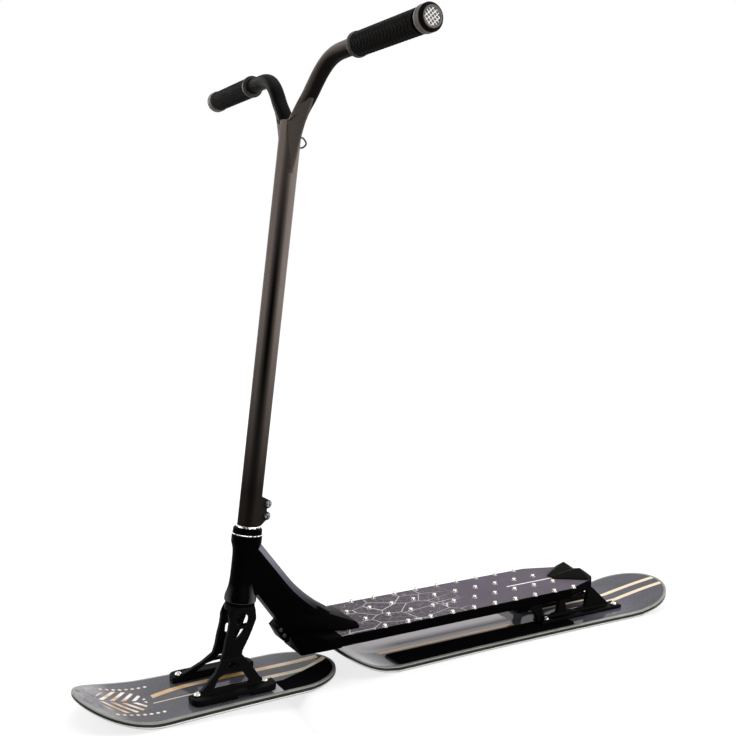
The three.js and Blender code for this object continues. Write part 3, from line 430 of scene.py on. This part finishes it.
def mottled(name, grain, tones=None, spots=(60, 4), sharp=None, rough=None, drift=(240, 4), **values):
    """A finish whose tones, roughness and fine bump each follow a noise, from its scale and detail."""
    finish = Finish(name, **values)
    if tones:
        mask = finish.noise(*spots)
        finish.feed("Base Color", finish.blend(mask.over(*sharp) if sharp else mask, *tones))
    if rough:
        least, spread = rough
        finish.feed("Roughness", least + finish.noise(*drift) * spread)
    scale, depth = grain
    finish.bump(finish.noise(scale, 4), depth * mm)
    return finish


ski_base = mottled("ski_base", (700, 0.05), rough=(0.3, 0.3), drift=(500, 3, 0.6, (0.05, 1, 1)), Base_Color=ink)
ski_edge = mottled("ski_steel_edge", (300, 0.04), rough=(0.2, 0.3), drift=(260, 4, 0.6, (1, 0.2, 1)),
                   Base_Color=(0.55, 0.56, 0.53, 1), Metallic=1.0)
ski_wall = mottled("ski_sidewall", (260, 0.06), [flat_shade(0.004), (0.02, 0.02, 0.018, 1)], (40, 3),
                   Roughness=0.45, Specular_IOR_Level=0.15)
# The rolled rim's lacquer is painted pale grey, a painted highlight along the top edge.
rim_highlight_lacquer = mottled("rolled_rim_painted_highlight", (120, 0.05), [(0.12, 0.12, 0.105, 1), (0.25, 0.25, 0.22, 1)], (50, 3),
                  rough=(0.22, 0.2), drift=(200, 4))

front_stripes = [
    (bent_course(-21.5 * mm, 13 * mm, 40 * mm, 74 * mm), 5.4 * mm, peach, -150 * mm, 114 * mm),
    (bent_course(11 * mm, -22 * mm, -95 * mm, -60 * mm), 5 * mm, cream, -158 * mm, 52 * mm),
    (bent_course(11 * mm, 2 * mm, 50 * mm, 66 * mm), 1 * mm, cream, 46 * mm, 118 * mm),
]
rear_stripes = [
    (bent_course(-20 * mm, 9 * mm, -720 * mm, -70 * mm), 4.6 * mm, cream, -836 * mm, -560 * mm),
    (bent_course(9 * mm, 12 * mm, -725 * mm, -80 * mm), 4.6 * mm, cream, -836 * mm, -560 * mm),
]
front_ski = Ski("front_ski", "steering", (224, 94, 76, 35, 112), (-164, 79, 70, 5, 64), 71.5, 2)
rear_ski = Ski("rear_ski", "frame", (-152, 66, 74, 38, 98), (-838, 80, 79, 29, 110), 72, 2.8)
for ski, sheet in ((front_ski, topsheet("front_topsheet", front_stripes, front_panel, front_extras)),
                   (rear_ski, topsheet("rear_topsheet", rear_stripes, rear_panel, rear_extras))):
    on_show(ski.mesh(), [ski_base, ski_edge, ski_wall, sheet, rim_highlight_lacquer], ski.body, "ski_topsheet", ski.node)


# Snow
# A white floor that runs out to the horizon. Beside and under the front ski it is
# pressed down a little, as the raked fork lowers that ski's edges when the bar turns.
studio_floor = Finish("studio_floor", Base_Color=flat_shade(0.3), Roughness=0.9, Specular_IOR_Level=0,
                      Emission_Strength=1)
away = studio_floor.x * studio_floor.x + studio_floor.y * studio_floor.y
glow = studio_floor.blend(away.over(5, 8), flat_shade(0.76), flat_shade(1))
studio_floor.feed("Emission Color", studio_floor.blend(studio_floor.seen(), flat_shade(0), glow))

rake = math.radians(7.34)
upright = Matrix.Translation((AHEAD, 0, 0)) @ Matrix.Rotation(-rake, 4, "Y")
bar_turns = [upright @ Matrix.Rotation(math.radians(degrees), 4, "Z") @ upright.inverted()
             for degrees in range(-90, 91, 10)]
ski_margin, snow_gap = 14 * mm, 0.4 * mm


def snow_height(x, y, ski):
    """The lowest place that a ski's base reaches over a spot on the floor, over the whole turn."""
    lowest = 0
    for turn in bar_turns:
        foot, normal = turn @ Vector((AHEAD, 0, 0)), turn.to_3x3() @ Vector((0, 0, 1))
        height = foot.z - (normal.x * (x - foot.x) + normal.y * (y - foot.y)) / normal.z
        spot = turn.inverted() @ Vector((x, y, height))
        along = spot.x - AHEAD
        in_length = ski.tail_x - ski_margin < along < ski.nose_x + ski_margin
        if in_length and abs(spot.y) < ski.nose_half + ski_margin:
            lowest = min(lowest, height + ski.rise(along))
    return lowest - snow_gap


def snow_mesh():
    """A fine grid round the front ski, and coarse strips from there out to the horizon."""
    horizon, dish, step = 9, 0.27, 0.015
    cells = round(2 * dish / step)
    places = [-horizon, -horizon / 3] + [step * i - dish for i in range(cells + 1)] + [horizon / 3, horizon]
    build = bmesh.new()
    rows = [[build.verts.new((x + AHEAD, y, snow_height(x + AHEAD, y, front_ski))) for y in places]
            for x in places]
    for row, after in zip(rows, rows[1:]):
        for j in range(len(places) - 1):
            build.faces.new((row[j], after[j], after[j + 1], row[j + 1]))
    made = bpy.data.meshes.new("studio_floor")
    build.to_mesh(made)
    build.free()
    made.shade_smooth()
    made.materials.append(studio_floor.material)
    return made


floor = bpy.data.objects.new("studio_floor", snow_mesh())
bpy.context.collection.objects.link(floor)


# Castings and forgings
# The neck, its lug and the nose block are black-coated castings with eased corners, and
# the round of the neck's back carries a painted sheen, paler up the neck and where it is
# faced. The fork and the riser are forgings, so each is its solid under a fine skin that
# rounds every edge.
def own_mesh(node, name):
    """A copy of a node's mesh with its split corners joined and its flat faces whole."""
    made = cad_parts[node].data.copy()
    made.name = name
    made.materials.clear()
    made.shade_smooth()
    build = bmesh.new()
    build.from_mesh(made)
    for layer in list(build.loops.layers.uv):
        build.loops.layers.uv.remove(layer)
    bmesh.ops.remove_doubles(build, verts=build.verts, dist=0.01 * mm)
    bmesh.ops.dissolve_limit(build, angle_limit=math.radians(0.8), verts=build.verts, edges=build.edges)
    build.to_mesh(made)
    build.free()
    return made


def settled(piece):
    """Applies a piece's modifiers to its own mesh, and makes that smooth."""
    graph = bpy.context.evaluated_depsgraph_get()
    graph.update()
    made = bpy.data.meshes.new_from_object(piece.evaluated_get(graph))
    piece.modifiers.clear()
    piece.data = made
    made.shade_smooth()
    return made


def rounded(name, node, body, finish, voxel, smoothing):
    """A forging: the solid skinned with a fine even mesh and relaxed, so every edge is round."""
    piece = on_show(own_mesh(node, name), [finish], body, "frame_black", node)
    skinned = piece.modifiers.new("skin", "REMESH")
    skinned.mode = "VOXEL"
    skinned.voxel_size = voxel * mm
    relax = piece.modifiers.new("relax", "SMOOTH")
    relax.factor, relax.iterations = 0.5, smoothing
    settled(piece)


def crested(mesh):
    """Gives the round of the neck's back, above the deck, the mesh's second finish, its painted sheen."""
    crest_foot = 95 * mm
    for face in mesh.polygons:
        back = face.normal.x < -0.1 and face.normal.z > 0.1 and abs(face.normal.y) < 0.9
        face.material_index = int(back and face.center.z > crest_foot)


def eased(name, node, body, slot, finishes, edge, angle=32):
    """A machined piece: the solid with a small even chamfer on its corners. A second finish is its crest's."""
    piece = on_show(own_mesh(node, name), finishes, body, slot, node)
    if len(finishes) > 1:
        crested(piece.data)
    ease = piece.modifiers.new("ease", "BEVEL")
    ease.width, ease.segments = edge * mm, 2
    ease.limit_method, ease.angle_limit = "ANGLE", math.radians(angle)
    settled(piece).set_sharp_from_angle(angle=math.radians(angle + 10))


def black_finish(name, shine, tones):
    """Black powder coat: its tones, soft drifts in its gloss and a faint orange peel."""
    coat = Finish(name, Specular_IOR_Level=shine)
    speckle = coat.noise(1500, 3)
    coat.feed("Base Color", tones(coat, speckle))
    coat.feed("Roughness", 0.24 + coat.noise(35, 5, 0.65) * 0.2)
    coat.bump(speckle + coat.noise(220, 3) * 0.8, 0.045 * mm)
    return coat


def speckled(low, high):
    """Tones of fine speckle between two cool blacks."""
    cool = (1, 1, 1.12)
    return lambda coat, speckle: coat.blend(
        speckle.over(0.62, 0.3) * 0.7 + coat.noise(18, 4) * 0.3, flat_shade(low, cool), flat_shade(high, cool))


def crest_sheen(coat, _):
    """Painted sheen: tones that grow paler up the neck and where its back is faced."""
    sheen_share = coat.z.over(155 * mm, 110 * mm) * (0.8 + coat.noise(30, 3) * 0.4)
    return coat.blend(sheen_share * (1.5 - coat.turned_away() * 1.1),
                      (0.006, 0.0055, 0.0065, 1), (0.17, 0.156, 0.2, 1))


black_coat = black_finish("black_powder_coat", 0.004, speckled(0.0005, 0.002))
forged_coat = black_finish("forged_black_coat", 0.012, speckled(0.0015, 0.007))
neck_crest = black_finish("neck_crest_painted_sheen", 0.03, crest_sheen)

eased("neck_casting", "neck", "frame", "frame_black", [black_coat, neck_crest], 0.9)
rounded("fork_forging", "fork", "steering", forged_coat, 1.0, 5)
rounded("riser_casting", "rear_riser", "frame", forged_coat, 1.1, 4)
eased("nose_block", "deck_nose", "frame", "frame_black", [black_coat], 1.6)
eased("neck_lug_block", "neck_lug", "frame", "frame_black", [black_coat], 0.8)


# Deck
# A boxed aluminium deck with black sides. Its top is coated in grey grit, bears rows
# of steel studs for the boots, and has a crackle print over its front part.
deck_top = 70
stud_pitch, row_pitch, row_stagger, first_stud = 40.8, 40, 11, -190.7


def crackle(grit, tone):
    """A pale web of coarse and fine cracks, darker between them, over the deck's front part."""
    x = grit.x - AHEAD
    place = grit.node("ShaderNodeMapping", {}, {
        "Vector": grit.place, "Rotation": (0, 0, 0.5), "Scale": (1, 1.5, 0)})
    coarse, fine = (grit.node("ShaderNodeTexVoronoi", {"feature": "DISTANCE_TO_EDGE"},
                              {"Vector": place, "Scale": scale}) for scale in (19.0, 75.0))
    web = (1 - coarse.over(0.009, 0.012)).larger((1 - fine.over(0.014, 0.03)) * 0.4)
    tone = grit.blend(x.over(-330 * mm, 150 * mm) * 0.6, tone, (0.035, 0.032, 0.035, 1))
    return grit.blend(x.over(-385 * mm, 50 * mm) * web * 0.85, tone, (0.8, 0.78, 0.78, 1))


grit = Finish("deck_grit", Specular_IOR_Level=0.15)
grains = grit.noise(2400, 2, 0.6)
pebbles = grit.node("ShaderNodeTexVoronoi", {"feature": "F1"}, {"Vector": grit.place, "Scale": 1400.0})
tone = grit.blend(grit.noise(9, 4, 0.6, (1, 2, 1)), (0.05, 0.04, 0.054, 1), (0.1, 0.08, 0.104, 1))
tone = crackle(grit, grit.blend(grains.over(0.58, 0.2) * 0.45, tone, (0.27, 0.23, 0.28, 1)))
pale_line = line_mask(grit.y - 1 * mm, 1.5 * mm) * between(grit.x - AHEAD, -594 * mm, -497 * mm)
grit.feed("Base Color", grit.blend(pale_line, tone, flat_shade(0.9)))
grit.feed("Roughness", 0.6 + grains * 0.3)
grit.bump(grains + pebbles * 0.6, 0.3 * mm)


def capped(build, rings):
    """Joins the rings and closes both ends, and gives the two end faces."""
    skin(build, rings)
    return build.faces.new(rings[0]), build.faces.new(rings[-1])


def deck_mesh():
    """The box section as stacked outlines, with eased edges and a lip round the grit."""
    half, tail_half, corner, taper = 65, 43, 10, 72
    front, rear = -150, -656
    # Each corner of the plan, with how far it moves for each millimetre that the outline is set in.
    plan = [(front, half, 0, 1), (rear + taper, half, 0, 1), (rear + corner, tail_half, 0.55, 1),
            (rear, tail_half - corner, 1, 0.7)]
    layers = [(3.3, 53.5), (0, 56.8), (0, 68.9), (0.5, 69.7), (1.3, deck_top), (2, deck_top), (2, 69.75)]
    build = bmesh.new()
    rings = []
    for inset, height in layers:
        left = [(x + inset * in_x, y - inset * in_y) for x, y, in_x, in_y in plan]
        points = left + [(x, -y) for x, y in reversed(left)]
        rings.append([build.verts.new((x * mm + AHEAD, y * mm, height * mm)) for x, y in points])
    _, top = capped(build, rings)
    top.material_index = 1
    return finished(build, "deck_box", None)


def circle(build, place, radius, height, steps):
    """A ring of points about a place's upright axis, or one point where the radius is 0."""
    points = []
    for i in range(steps if radius else 1):
        turn = 2 * math.pi * i / steps
        out = radius(turn) if callable(radius) else radius
        points.append(build.verts.new(place @ Vector((
            out * mm * math.cos(turn), out * mm * math.sin(turn), height * mm))))
    return points


def turn_up(build, place, profile, steps, slots=()):
    """Adds a form turned about a place's upright axis, from radii and heights in millimetres."""
    rings = [circle(build, place, radius, height, steps) for radius, height in profile]
    skin(build, rings, len(rings[0]) > 1 and len(rings[-1]) > 1, slots)


def stud_mesh():
    """Four staggered rows of domed studs with a socket in the top, from their foot to the socket's floor."""
    profile = [(4.4, -0.4), (4.4, 0.25), (3.9, 0.5), (3.3, 0.5), (3.3, 1.2), (3.15, 3.1), (2.6, 4.1),
               (1.7, 4.45), (0.9, 4.45), (0.75, 3.6), (0, 3.6)]
    build = bmesh.new()
    for row in range(4):
        for i in range(1 if row == 0 else 0, 10):
            x = first_stud - i * stud_pitch - row * row_stagger
            y = (row - 1.5) * row_pitch
            turn_up(build, Matrix.Translation((x * mm + AHEAD, y * mm, deck_top * mm)), profile, 20)
    return finished(build, "deck_studs", 40)


bright_steel = mottled("bright_steel", (900, 0.02), [(0.36, 0.35, 0.33, 1), (0.62, 0.6, 0.56, 1)], (90, 4),
                       rough=(0.14, 0.22), drift=(300, 4, 0.6), Metallic=1.0)
on_show(deck_mesh(), [black_coat, grit], "frame", "deck_grip", "deck")
on_show(stud_mesh(), [bright_steel], "frame", "bright_steel")


# Heel stop
# A folded wedge of tough black plastic on the tail, which the rear boot meets: two
# ridges with a valley between them, crisp at the folds.
stop_plastic = mottled("heel_stop_plastic", (900, 0.12),
                       [(0.0012, 0.0013, 0.001, 1), (0.006, 0.0064, 0.005, 1)], (30, 4),
                       rough=(0.4, 0.25), drift=(120, 4), Specular_IOR_Level=0.02)
eased("heel_stop_wedge", "heel_stop", "frame", "stop_rubber", [stop_plastic], 0.5, 12)


# Bolts
# Socket screws of polished steel hold both feet to their skis, dark ones with painted
# glints close the clamp, and blackened ones sit in the neck's lug and under the deck.
dark_steel = mottled("dark_steel", (800, 0.03), rough=(0.28, 0.25), drift=(240, 4, 0.6),
                     Base_Color=(0.03, 0.03, 0.033, 1), Metallic=1.0)
# Dark steel with small pale spots, which are painted glints.
glint_spotted_steel = mottled("glint_spotted_steel", (700, 0.04), [(0.02, 0.02, 0.022, 1), flat_shade(0.3)], (700, 3),
                     sharp=(0.56, 0.14), rough=(0.25, 0.3), drift=(240, 4), Metallic=1.0)
for screw, bolt, count, body, slot, steel, edge in (
        ("fork_foot_screw", "fork_foot_bolt", 4, "steering", "bright_steel", bright_steel, 0.35),
        ("riser_foot_screw", "riser_foot_bolt", 4, "frame", "bright_steel", bright_steel, 0.35),
        ("neck_lug_screw", "neck_lug_bolt", 2, "frame", "dark_steel", dark_steel, 0.25),
        ("riser_deck_screw", "riser_deck_bolt", 2, "frame", "dark_steel", dark_steel, 0.35),
        ("clamp_screw", "clamp_bolt", 2, "steering", "bright_steel", glint_spotted_steel, 0.35)):
    for number in range(1, count + 1):
        eased(f"{screw}_{number}", f"{bolt}_{number}", body, slot, [steel], edge)


# Head tube and headset
# A turned steel head tube, waisted and flared over its bearings, with a black cap
# between two bright rings. The head tube's lower flare carries painted highlights on its
# flanks, and the rings' broken glints are painted into their steel. The steerer runs through it.
steerer_hole = 14.6


def turned(name, place, profile, steps=72, slots=()):
    build = bmesh.new()
    turn_up(build, place, profile, steps, slots)
    return finished(build, name, 38)


def ringed(name, outside):
    """A piece round the steerer, from its outside upwards, bored for the steerer."""
    bored = [(steerer_hole, outside[0][1])] + outside + [(steerer_hole, outside[-1][1])]
    return turned(name, upright, bored)


head_coat = Finish("head_tube_coat", Specular_IOR_Level=0.007)
# Painted highlights on the lower flare's flanks, where it is seen edge on.
low_flare = 1 - head_coat.z.over(146 * mm, 18 * mm)
edge_on = head_coat.turned_away()
flank = edge_on.over(0.3, 0.3) * (1 - edge_on.over(0.75, 0.2))
head_coat.feed("Base Color", head_coat.blend(flank * low_flare, flat_shade(0.0005), (0.08, 0.08, 0.078, 1)))
head_coat.feed("Roughness", 0.26 + head_coat.noise(40, 4) * 0.2)
head_coat.bump(head_coat.noise(900, 4), 0.03 * mm)
# Patchy steel from near black to near white: painted broken glints on the headset rings.
headset_ring_glints = mottled("headset_ring_painted_glints", (420, 0.1), [flat_shade(0.06), (0.9, 0.9, 0.88, 1)], (420, 2),
                     sharp=(0.5, 0.1), rough=(0.2, 0.2), drift=(300, 3), Metallic=1.0)

waisted = [(22.4, 129.3), (23, 130), (23, 134.6), (22.4, 138), (20.6, 144), (19.2, 150), (18.5, 156),
           (18.1, 164), (18, 176), (18, 188), (18.1, 196), (18.5, 202), (19.5, 207), (21.2, 212), (22, 214.8),
           (22, 225), (21.4, 225.7)]
lower_ring = [(22.0, 226), (22.4, 226.4), (22.4, 227.1), (22.0, 227.5)]
cap = [(20.6, 227.8), (21, 228.2), (21, 233.4), (20.6, 234.6), (19.4, 235.6), (18.6, 235.8)]
upper_ring = [(16.9, 236.1), (17.2, 236.4), (17.2, 238.6), (16.9, 239)]
crown_seat = [(21, 125), (21.4, 125.4), (21.4, 128.6), (21, 129)]
for name, outside, finish, body, slot, node in (
        ("head_tube_turning", waisted, head_coat, "frame", "frame_black", "head_tube"),
        ("headset_lower_ring", lower_ring, headset_ring_glints, "steering", "bright_steel", "headset_seal_ring"),
        ("headset_cap_turning", cap, black_coat, "steering", "frame_black", "headset_cap"),
        ("headset_upper_ring", upper_ring, headset_ring_glints, "steering", "bright_steel", "bar_spacer"),
        ("crown_race_turning", crown_seat, black_coat, "steering", "frame_black", "crown_race")):
    on_show(ringed(name, outside), [finish], body, slot, node)

for node in ("lower_bearing", "upper_bearing", "steerer", "steerer_top_cap", "star_nut", "compression_bolt"):
    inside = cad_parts[node].data
    inside.materials.clear()
    inside.materials.append((bright_steel if node == "star_nut" else dark_steel).material)


# Handlebar
# A slotted steel tube with a two-bolt clamp at its foot forks into two arms, which
# are welded on and stiffened by two long folded gussets. Satin brown-black paint, with
# painted highlights where it turns away; the left arm and the gussets carry lighter,
# lit copies of it and the right arm a darker, shaded one.
def bar_coat(name, faced, lit, share, shine=0.006):
    """Satin paint that is near black where it is faced, with a browner painted highlight where it turns away.
    """
    coat = Finish(name, Specular_IOR_Level=shine)
    flake = coat.noise(1800, 2)
    sparkle = flake.over(0.6, 0.3)
    brown = (1, 0.82, 0.74)
    dark = coat.blend(sparkle, flat_shade(faced, brown), flat_shade(faced * 3, brown))
    light = coat.blend(sparkle * 0.5 + coat.noise(14, 4) * 0.5,
                       flat_shade(lit, brown), flat_shade(lit * 1.5, brown))
    coat.feed("Base Color", coat.blend(coat.turned_away().over(0.09, 0.18) * share(coat), dark, light))
    coat.feed("Roughness", 0.3 + coat.noise(50, 5, 0.65) * 0.2)
    coat.bump(flake + coat.noise(260, 3) * 0.7, 0.03 * mm)
    return coat


def upward(coat):
    """How far the surface faces the sky, from -1 to 1."""
    normal = coat.node("ShaderNodeNewGeometry", out="Normal")
    return coat.node("ShaderNodeSeparateXYZ", {}, {0: normal}, 2)


# Painted highlights: the bar's grow up the tube, the left arm's is a lighter lit copy brightest on its upper
# side, the right arm's a darker shaded copy, and the gussets' a lighter lit copy.
bar_paint = bar_coat("bar_paint", 0.0005, 0.15, lambda coat: 0.1 + coat.z.over(0.425, 0.27) * 0.9, 0.003)
arm_paints = {
    "left": bar_coat("left_arm_paint_lit_copy", 0.006, 0.15, lambda coat: upward(coat).over(-0.05, 0.9)),
    "right": bar_coat("right_arm_paint_shaded_copy", 0.0004, 0.008, lambda coat: 0.1 + coat.z.over(0.868, 0.02) * 0.9),
}
gusset_paint_lit_copy = bar_coat("gusset_paint_lit_copy", 0.05, 0.07, lambda coat: 1 - coat.z.over(0.8, 0.1) * 0.3)
eased("bar_tube", "main_tube", "steering", "bar_paint", [bar_paint], 0.4)


def smooth_course(points, steps):
    """A centripetal course through the points."""
    course = []
    ends = [points[0] * 2 - points[1]] + points + [points[-1] * 2 - points[-2]]
    for i in range(1, len(ends) - 2):
        before, here, there, after = ends[i - 1:i + 3]
        knots = [0.0]
        for a, b in ((before, here), (here, there), (there, after)):
            knots.append(knots[-1] + max(1e-6, (b - a).length) ** 0.5)
        for step in range(steps):
            t = knots[1] + (knots[2] - knots[1]) * step / steps
            a1 = before.lerp(here, (t - knots[0]) / (knots[1] - knots[0]))
            a2 = here.lerp(there, (t - knots[1]) / (knots[2] - knots[1]))
            a3 = there.lerp(after, (t - knots[2]) / (knots[3] - knots[2]))
            b1 = a1.lerp(a2, (t - knots[0]) / (knots[2] - knots[0]))
            b2 = a2.lerp(a3, (t - knots[1]) / (knots[3] - knots[1]))
            course.append(b1.lerp(b2, (t - knots[1]) / (knots[2] - knots[1])))
    return course + [points[-1]]


def pipe(name, course, radius, sides=32):
    """A round skin along a course in the bar's own upright frame; radius may vary."""
    build = bmesh.new()
    rings = []
    turns = [2 * math.pi * k / sides for k in range(sides)]
    across = None
    for i, point in enumerate(course):
        along = (course[min(i + 1, len(course) - 1)] - course[max(i - 1, 0)]).normalized()
        if across is None:
            across = along.orthogonal().normalized()
        across = (across - along * across.dot(along)).normalized()
        third = along.cross(across)
        size = radius(i) if callable(radius) else radius
        rings.append([build.verts.new(upright @ (point + size * (across * math.cos(t) + third * math.sin(t))))
                      for t in turns])
    capped(build, rings)
    return finished(build, name, 50)


tube_radius, arm_radius, arm_root = 15.9, 11.1, 800
bar_half, grip_inner, grip_line, crotch, backsweep = 331 * mm, 167 * mm, 893 * mm, 816 * mm, 7 * mm
# The arm's bend, as shares of the way out to the grip and up from the crotch to its line.
arm_shares = [(0.012, -0.182), (0.18, 0.182), (0.287, 0.39), (0.371, 0.584), (0.431, 0.714), (0.491, 0.818),
              (0.551, 0.896), (0.617, 0.952), (0.707, 0.991), (0.808, 1), (1, 1)]


def arm_course(hand):
    points = [Vector((-backsweep / 2 * out, hand * out * grip_inner, crotch + (grip_line - crotch) * up))
              for out, up in arm_shares]
    points.append(Vector((-backsweep, hand * bar_half, grip_line)))
    return smooth_course(points, 9)


gusset_foot = 743
gusset_edge = [(gusset_foot, 16.2), (751.8, 20), (765, 25), (780.2, 30), (803.8, 39.5), (827, 52), (841, 60)]


def gusset_half(height):
    """Half the folded plate's width where it meets the tube: a point below, the tube's flank above."""
    return min(arm_radius, 1.4 + (height - gusset_foot) * 0.17)


def tube_flank(half):
    """How far out the tube's surface is at a place that far from its middle plane."""
    return math.sqrt(tube_radius ** 2 - half ** 2)


def gusset_mesh(name, hand):
    """A folded plate from a point on the tube's flank up to the arm's underside."""
    build = bmesh.new()
    rings = []
    for point in smooth_course([Vector((0, out, height)) for height, out in gusset_edge], 8):
        out, height = point.y, point.z
        half = gusset_half(height)
        root = max(tube_flank(half) - 4, height - arm_root)
        shoulder = max(tube_flank(half) - 0.4, root + 2.8)
        front = [(half, root), (half, shoulder), (half * 0.55 + 1, shoulder + (out - shoulder) * 0.52),
                 (2, out - 0.6), (1.2, out)]
        section = front + [(-x, y) for x, y in reversed(front)]
        rings.append([build.verts.new(upright @ (Vector((x, y * hand, height)) * mm)) for x, y in section])
    capped(build, rings)
    return finished(build, name, 34)


def weld_courses(hand, face):
    """The beads along the gusset's root and over the tube's rim, and along the arm's underside."""
    root = [(gusset_half(height), tube_flank(gusset_half(height)) + 0.2, height)
            for height in (743.6, 752, 762, 774, 786, 798, 810)]
    root += [(10.6, 11.7, 816.2), (8.8, 6.5, 816.5), (5.5, 2.4, 816.8), (0, 0.6, 817)]
    yield smooth_course([Vector((x * face, y * hand, height)) * mm for x, y, height in root], 12)
    slope, sloped_radius = 0.7071, 7.85
    under = []
    for degrees, along in ((10, 22), (25, 29), (42, 38), (58, 47), (72, 57)):
        turn = math.radians(degrees)
        out, lean = along * slope, sloped_radius * math.sin(turn)
        under.append(Vector((
            arm_radius * face * math.cos(turn), hand * (out + lean), arm_root + out - lean)) * mm)
    yield smooth_course(under, 12)


def ripple(i):
    """A bead's radius, which swells with each touch of the torch."""
    return (0.95 + 0.25 * math.sin(i * math.pi / 2)) * mm


for side, hand in (("left", 1), ("right", -1)):
    outside_cut = [p for p in arm_course(hand) if abs(p.y) > 7 * mm]
    arm = pipe(f"bar_arm_{side}", outside_cut, arm_radius * mm)
    on_show(arm, [arm_paints[side]], "steering", "bar_paint", f"arm_{side}")
    on_show(gusset_mesh(f"bar_gusset_{side}", hand), [gusset_paint_lit_copy], "steering", "bar_paint", f"gusset_{side}")
    for face, place in ((1, "front"), (-1, "rear")):
        for number, course in enumerate(weld_courses(hand, face)):
            bead = pipe(f"bar_weld_{side}_{place}_{number}", course, ripple, 10)
            on_show(bead, [arm_paints[side]], "steering", "bar_paint")

loop_height = 790
loop_points = [Vector((x, 0, loop_height + rise)) * mm for x, rise in (
    (-16.2, 7.5), (-21.2, 6.4), (-26.2, 0), (-21.2, -6.4), (-16.2, -7.5))]
leash_wire = pipe("leash_wire", smooth_course(loop_points, 8), 1.3 * mm, 12)
on_show(leash_wire, [dark_steel], "steering", "dark_steel", "leash_loop")


# Grips
# Moulded rubber sleeves with a flange at the inner end and a raised chevron tread. An
# anodised collar locks each one, and a plug closes it, with a pale woven disc in a
# narrow grey ring.
grip_rubber = mottled("grip_rubber", (1300, 0.08), [(0.0015, 0.0014, 0.0013, 1), (0.007, 0.006, 0.0055, 1)],
                      rough=(0.55, 0.3), drift=(300, 4), Specular_IOR_Level=0.02)
flange_rubber = mottled("flange_rubber", (1300, 0.06), [(0.016, 0.014, 0.013, 1), (0.04, 0.036, 0.034, 1)],
                        Roughness=0.55, Specular_IOR_Level=0.15)
collar_metal = mottled("collar_metal", (900, 0.04), [(0.07, 0.06, 0.056, 1), (0.13, 0.11, 0.104, 1)], (80, 4),
                       rough=(0.42, 0.2), drift=(400, 4), Metallic=0.2, Specular_IOR_Level=0.2)
woven_disc = Finish("woven_disc", Roughness=0.5)
threads_per_metre = 560
weave_u = woven_disc.x * threads_per_metre
weave_v = (woven_disc.z - woven_disc.x * 0.13) * threads_per_metre
weave = abs((weave_u + weave_v).sine()).smaller(abs((weave_u - weave_v).sine()))
woven_disc.feed("Base Color", woven_disc.blend(
    weave.over(0.3, 0.1), (0.95, 0.93, 0.9, 1), (0.03, 0.028, 0.026, 1)))
woven_disc.bump(weave, 0.4 * mm)

grip_length, sleeve_length, collar_length, arm_hole = 164, 147.4, 11, 11.4
sweep_angle = math.atan2(backsweep / 2, grip_length * mm)


def bar_frame(hand):
    """From a grip's own frame, lying along its length from the inner end, to the object's."""
    place = Matrix.Translation((-backsweep / 2, hand * grip_inner, grip_line))
    swept = Matrix.Rotation(hand * sweep_angle, 4, "Z")
    return upright @ place @ swept @ Matrix.Rotation(-hand * math.pi / 2, 4, "X")


def tread_height(turn, length):
    """How far the chevron tread stands out at a place round and along the sleeve."""
    lanes, chevron_pitch = 8, 7.5
    lane_share = abs(turn / (2 * math.pi) * lanes % 1 - 0.5) * 2
    wave = (length / chevron_pitch + lane_share * 0.8) % 1
    ramp = min(wave, 1 - wave) * 6
    gutter = min(1, (1 - lane_share) * 7)
    return max(0, min(1, ramp - 0.9)) * gutter


def sleeve_mesh(name, hand):
    """Rings along the sleeve: a plain flange, the tread, and a plain outer end."""
    around, tread_rows, tread_from, tread_foot, tread_depth = 144, 190, 9, 15.1, 0.5
    flange = [(arm_hole, 0), (15.6, 0), (16.3, 0.5), (16.6, 1.4), (16.6, 4.4), (16.2, 5.6), (15.6, 8)]
    outer_end = [(15.6, sleeve_length - 2), (15.3, sleeve_length - 0.4), (arm_hole, sleeve_length)]
    heights = [tread_from + (sleeve_length - 12) * row / (tread_rows - 1) for row in range(tread_rows)]
    tread = [(lambda turn, at=height: tread_foot + tread_depth * tread_height(turn, at), height)
             for height in heights]
    build = bmesh.new()
    place = bar_frame(hand)
    rings = [circle(build, place, radius, height, around) for radius, height in flange + tread + outer_end]
    skin(build, rings, True, [1] * (len(flange) - 1))
    return finished(build, name, 60)


collar_from = grip_length - collar_length - 0.3
collar_profile = [(radius, collar_from + along) for radius, along in (
    (arm_hole, 0), (16, 0), (16.6, 0.8), (16.8, 1.6), (16.8, 4), (16.3, 4.4), (16.3, 6), (16.8, 6.4),
    (16.8, 9.6), (16.4, 10.6), (15.6, collar_length), (arm_hole, collar_length))]
plug_profile = [(radius, grip_length + along) for radius, along in (
    (0, -18), (8.8, -18), (8.8, 0.3), (16.1, 0.3), (16.8, 0.8), (16.6, 1.6), (15.6, 3.1), (14.2, 4.3),
    (12.9, 4.9), (10.8, 4.8), (10.2, 4.2), (6, 4.3), (0, 4.4))]
grey_ring, disc = [2, 2], [1, 1]
for side, hand in (("left", 1), ("right", -1)):
    sleeve = sleeve_mesh(f"grip_sleeve_{side}", hand)
    on_show(sleeve, [grip_rubber, flange_rubber], "steering", "grip_rubber", f"grip_{side}")
    collar = turned(f"grip_lock_{side}", bar_frame(hand), collar_profile, 64)
    on_show(collar, [collar_metal], "steering", "collar_grey", f"grip_collar_{side}")
    plug = turned(f"bar_end_{side}", bar_frame(hand), plug_profile, 64, [0] * 8 + grey_ring + disc)
    on_show(plug, [grip_rubber, woven_disc, collar_metal], "steering", "grip_rubber", f"bar_end_plug_{side}")
